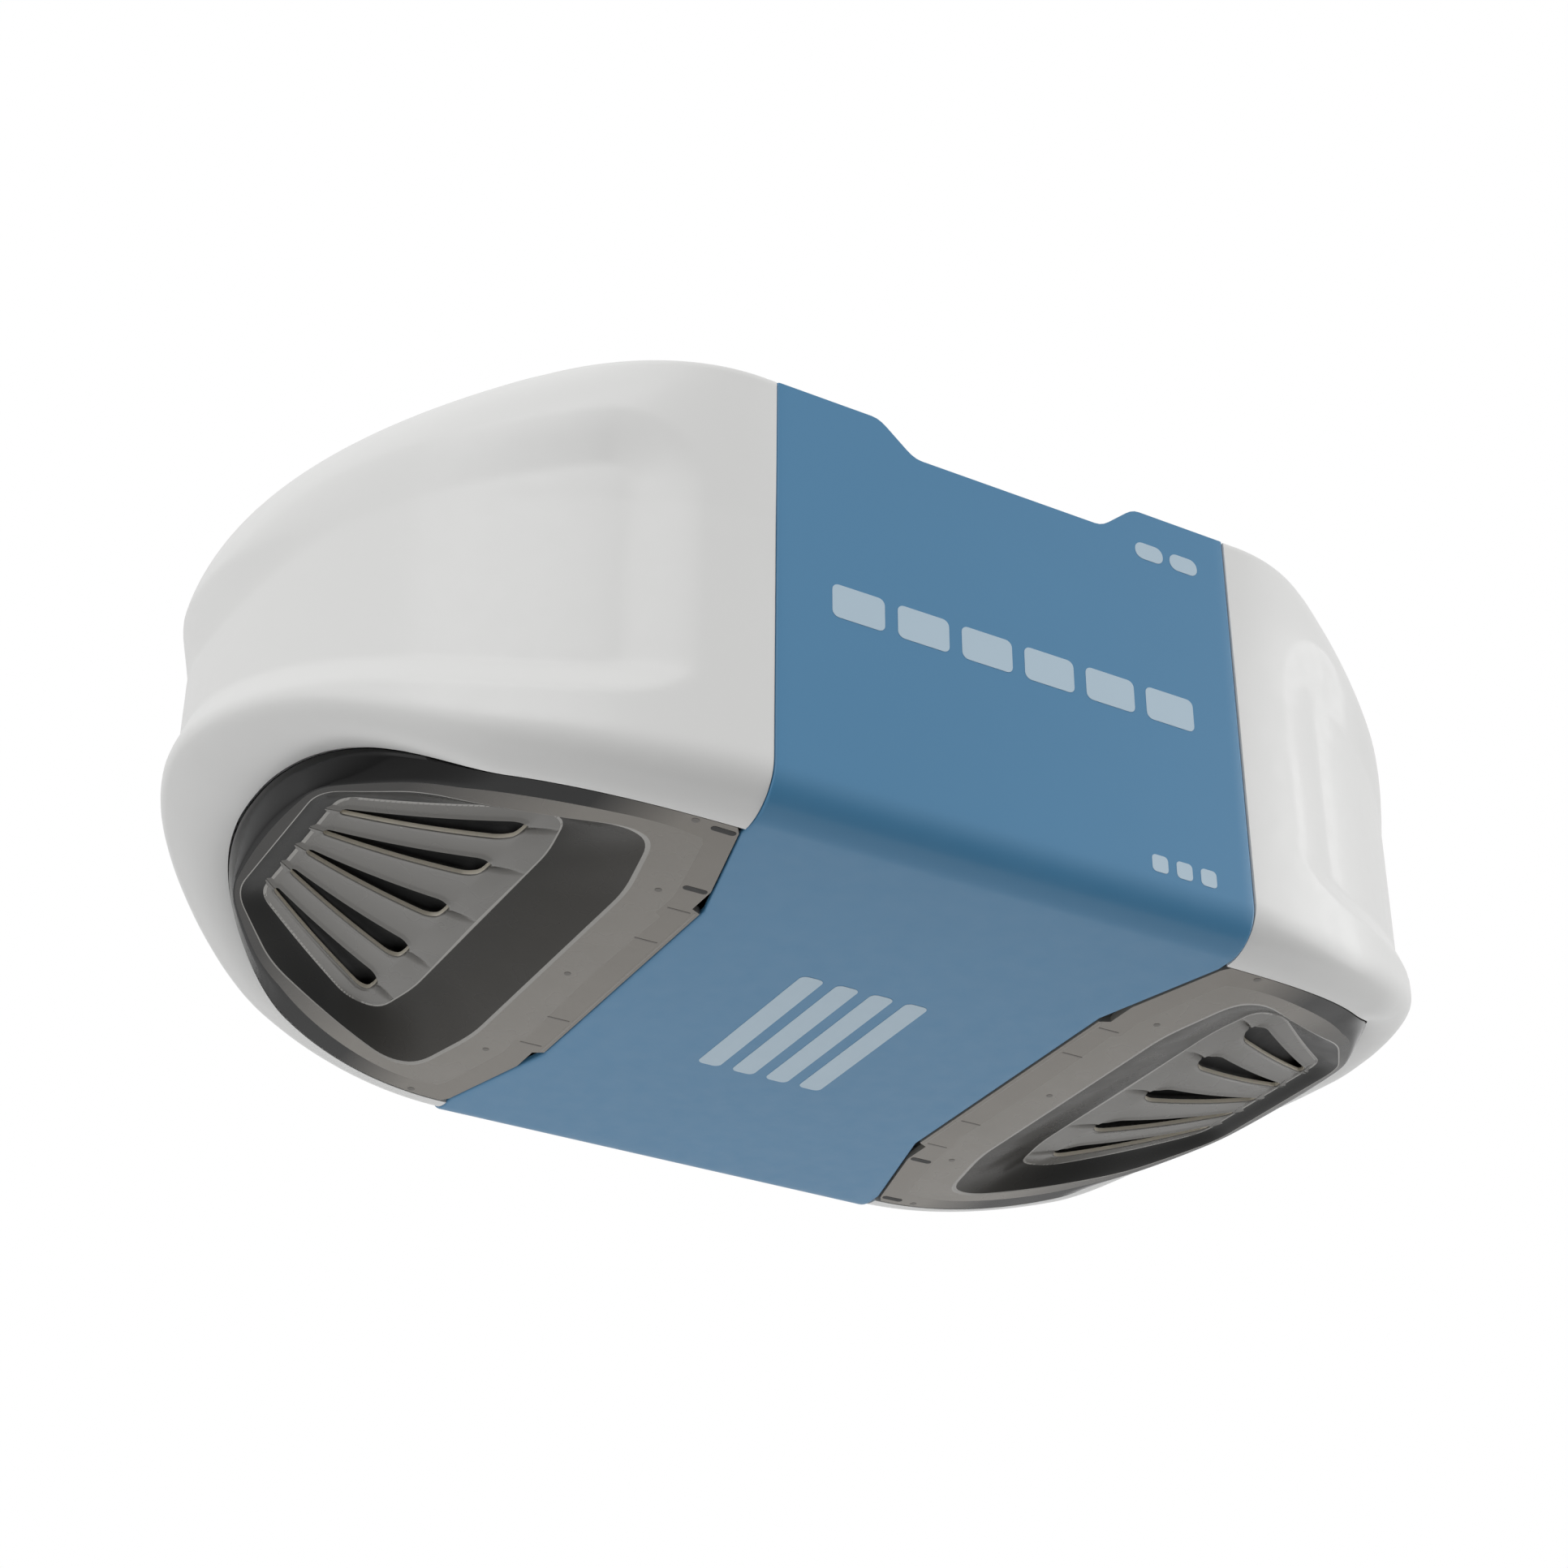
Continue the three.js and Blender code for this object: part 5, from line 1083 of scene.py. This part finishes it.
SOFT_EDGE = {"gear_nylon": 0, "winding_tape": 0.6, "isolator_rubber": 0.5}
REPLACED = ("cover_band", "right_end_cover", "left_end_cover", "right_light_lens", "left_light_lens")
SHARP = ("terminal_block",)      # rounding its edges spoils the face between its tabs
ROUNDING = 0.35                  # on every other node, in mm
slot_of = {part["node"]: part["material_slot"] for part in frame["record"]["subparts"]}


def softened(name, width):
    """The CAD node's shape with its sharp edges rounded over."""
    source = frame["nodes"][name]
    bm = bmesh.new()
    bm.from_mesh(source.data)
    bmesh.ops.remove_doubles(bm, verts=bm.verts, dist=0.001 * MM)
    bmesh.ops.dissolve_limit(bm, angle_limit=math.radians(1), verts=bm.verts, edges=bm.edges)
    sharp = [e for e in bm.edges if len(e.link_faces) == 2 and e.calc_face_angle(0) > math.radians(32)]
    bmesh.ops.bevel(bm, geom=sharp, offset=width * MM, segments=2, profile=0.6, affect="EDGES",
                    clamp_overlap=True)
    bmesh.ops.triangulate(bm, faces=[f for f in bm.faces if len(f.verts) > 4])
    mesh = bpy.data.meshes.new(name + "_soft")
    bm.to_mesh(mesh)
    bm.free()
    return mesh


for name, node in frame["nodes"].items():
    finish = FINISH[slot_of[name]]
    if name == "control_panel":
        finish = DARK_PANEL
    node.data.materials.clear()
    node.data.materials.append(finish)
    width = SOFT_EDGE.get(slot_of[name], ROUNDING)
    if name in REPLACED + SHARP or not width:
        continue
    mesh = softened(name, width)
    mesh.materials.append(finish)
    settle(name + "_soft", mesh, node["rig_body"], 35, [name])


# ---------------------------------------------------------------- floor, light, camera

FLOOR_Z = -0.8                   # metres, from here on
FLOOR_HALF_WIDTH = 4.0
FLOOR_Y = (-0.45, 6.0)


def floor_sheet():
    mesh = bpy.data.meshes.new("studio_floor")
    half, (near, far) = FLOOR_HALF_WIDTH, FLOOR_Y
    corners = [(-half, near), (half, near), (half, far), (-half, far)]
    mesh.from_pydata([(x, y, FLOOR_Z) for x, y in corners], [], [(0, 1, 2, 3)])
    n = Nodes("studio_floor")
    n.colour(n.blend(n.noise(3, 2), (0.78, 0.78, 0.78), (0.82, 0.82, 0.82)))
    n.set(Roughness=0.6)
    mesh.materials.append(n.material)
    floor = bpy.data.objects.new("studio_floor", mesh)
    bpy.context.scene.collection.objects.link(floor)


def soft_light(name, place, target, size, power):
    light = bpy.data.lights.new(name, "AREA")
    light.shape = "RECTANGLE"
    light.size, light.size_y = size
    light.energy = power
    obj = bpy.data.objects.new(name, light)
    obj.location = place
    obj.rotation_euler = (Vector(target) - Vector(place)).to_track_quat("-Z", "Y").to_euler()
    bpy.context.scene.collection.objects.link(obj)


floor_sheet()
soft_light("key", (-1.5, -1.6, 1.5), (0, 0, 0.08), (1.8, 1.8), 15)
soft_light("fill", (1.9, -0.9, 0.5), (0, 0, 0.08), (1.4, 1.6), 15)
soft_light("side", (-1.9, -0.6, 0.3), (0, 0, 0.08), (1.2, 1.2), 3.5)
soft_light("under", (0.0, 0.9, -0.75), (0, 0, 0.0), (2.0, 1.0), 1.3)

# soft studio surround: bright above and level, darker below, white behind the object
world = bpy.data.worlds.new("studio")
bpy.context.scene.world = world
world.use_nodes = True
wt = world.node_tree
direction = wt.nodes.new("ShaderNodeTexCoord")
split = wt.nodes.new("ShaderNodeSeparateXYZ")
wt.links.new(direction.outputs["Generated"], split.inputs["Vector"])
height = wt.nodes.new("ShaderNodeMapRange")
height.interpolation_type = "SMOOTHSTEP"
for socket, value in (("From Min", -0.5), ("From Max", 0.25), ("To Min", 0.08), ("To Max", 0.79)):
    height.inputs[socket].default_value = value
wt.links.new(split.outputs["Z"], height.inputs["Value"])
seen = wt.nodes.new("ShaderNodeLightPath")
strength = wt.nodes.new("ShaderNodeMath")
strength.operation = "MAXIMUM"
wt.links.new(seen.outputs["Is Camera Ray"], strength.inputs[0])
wt.links.new(height.outputs["Result"], strength.inputs[1])
wt.links.new(strength.outputs["Value"], wt.nodes["Background"].inputs["Strength"])
wt.nodes["Background"].inputs["Color"].default_value = (1, 1, 1, 1)
bpy.context.scene.view_settings.view_transform = "Standard"
bpy.context.scene.view_settings.look = "None"

CAMERA_PLACE = (-0.4628, -0.8035, -0.4549)
CAMERA_LENS = 66.2
YAW, PITCH, ROLL = (math.radians(a) for a in (29.16, 31.16, 0.29))
ahead = Vector((math.sin(YAW) * math.cos(PITCH), math.cos(YAW) * math.cos(PITCH), math.sin(PITCH)))
level = Vector((math.cos(YAW), -math.sin(YAW), 0))
upward = level.cross(ahead)
right = level * math.cos(ROLL) + upward * math.sin(ROLL)
up = upward * math.cos(ROLL) - level * math.sin(ROLL)
camera_data = bpy.data.cameras.new("camera")
camera_data.lens = CAMERA_LENS
camera_data.sensor_width = 36
camera_data.clip_start = 0.01
camera = bpy.data.objects.new("camera", camera_data)
bpy.context.scene.collection.objects.link(camera)
camera.matrix_world = Matrix((*zip(right, up, -ahead, CAMERA_PLACE), (0, 0, 0, 1)))
bpy.context.scene.camera = camera

bpy.context.view_layer.update()
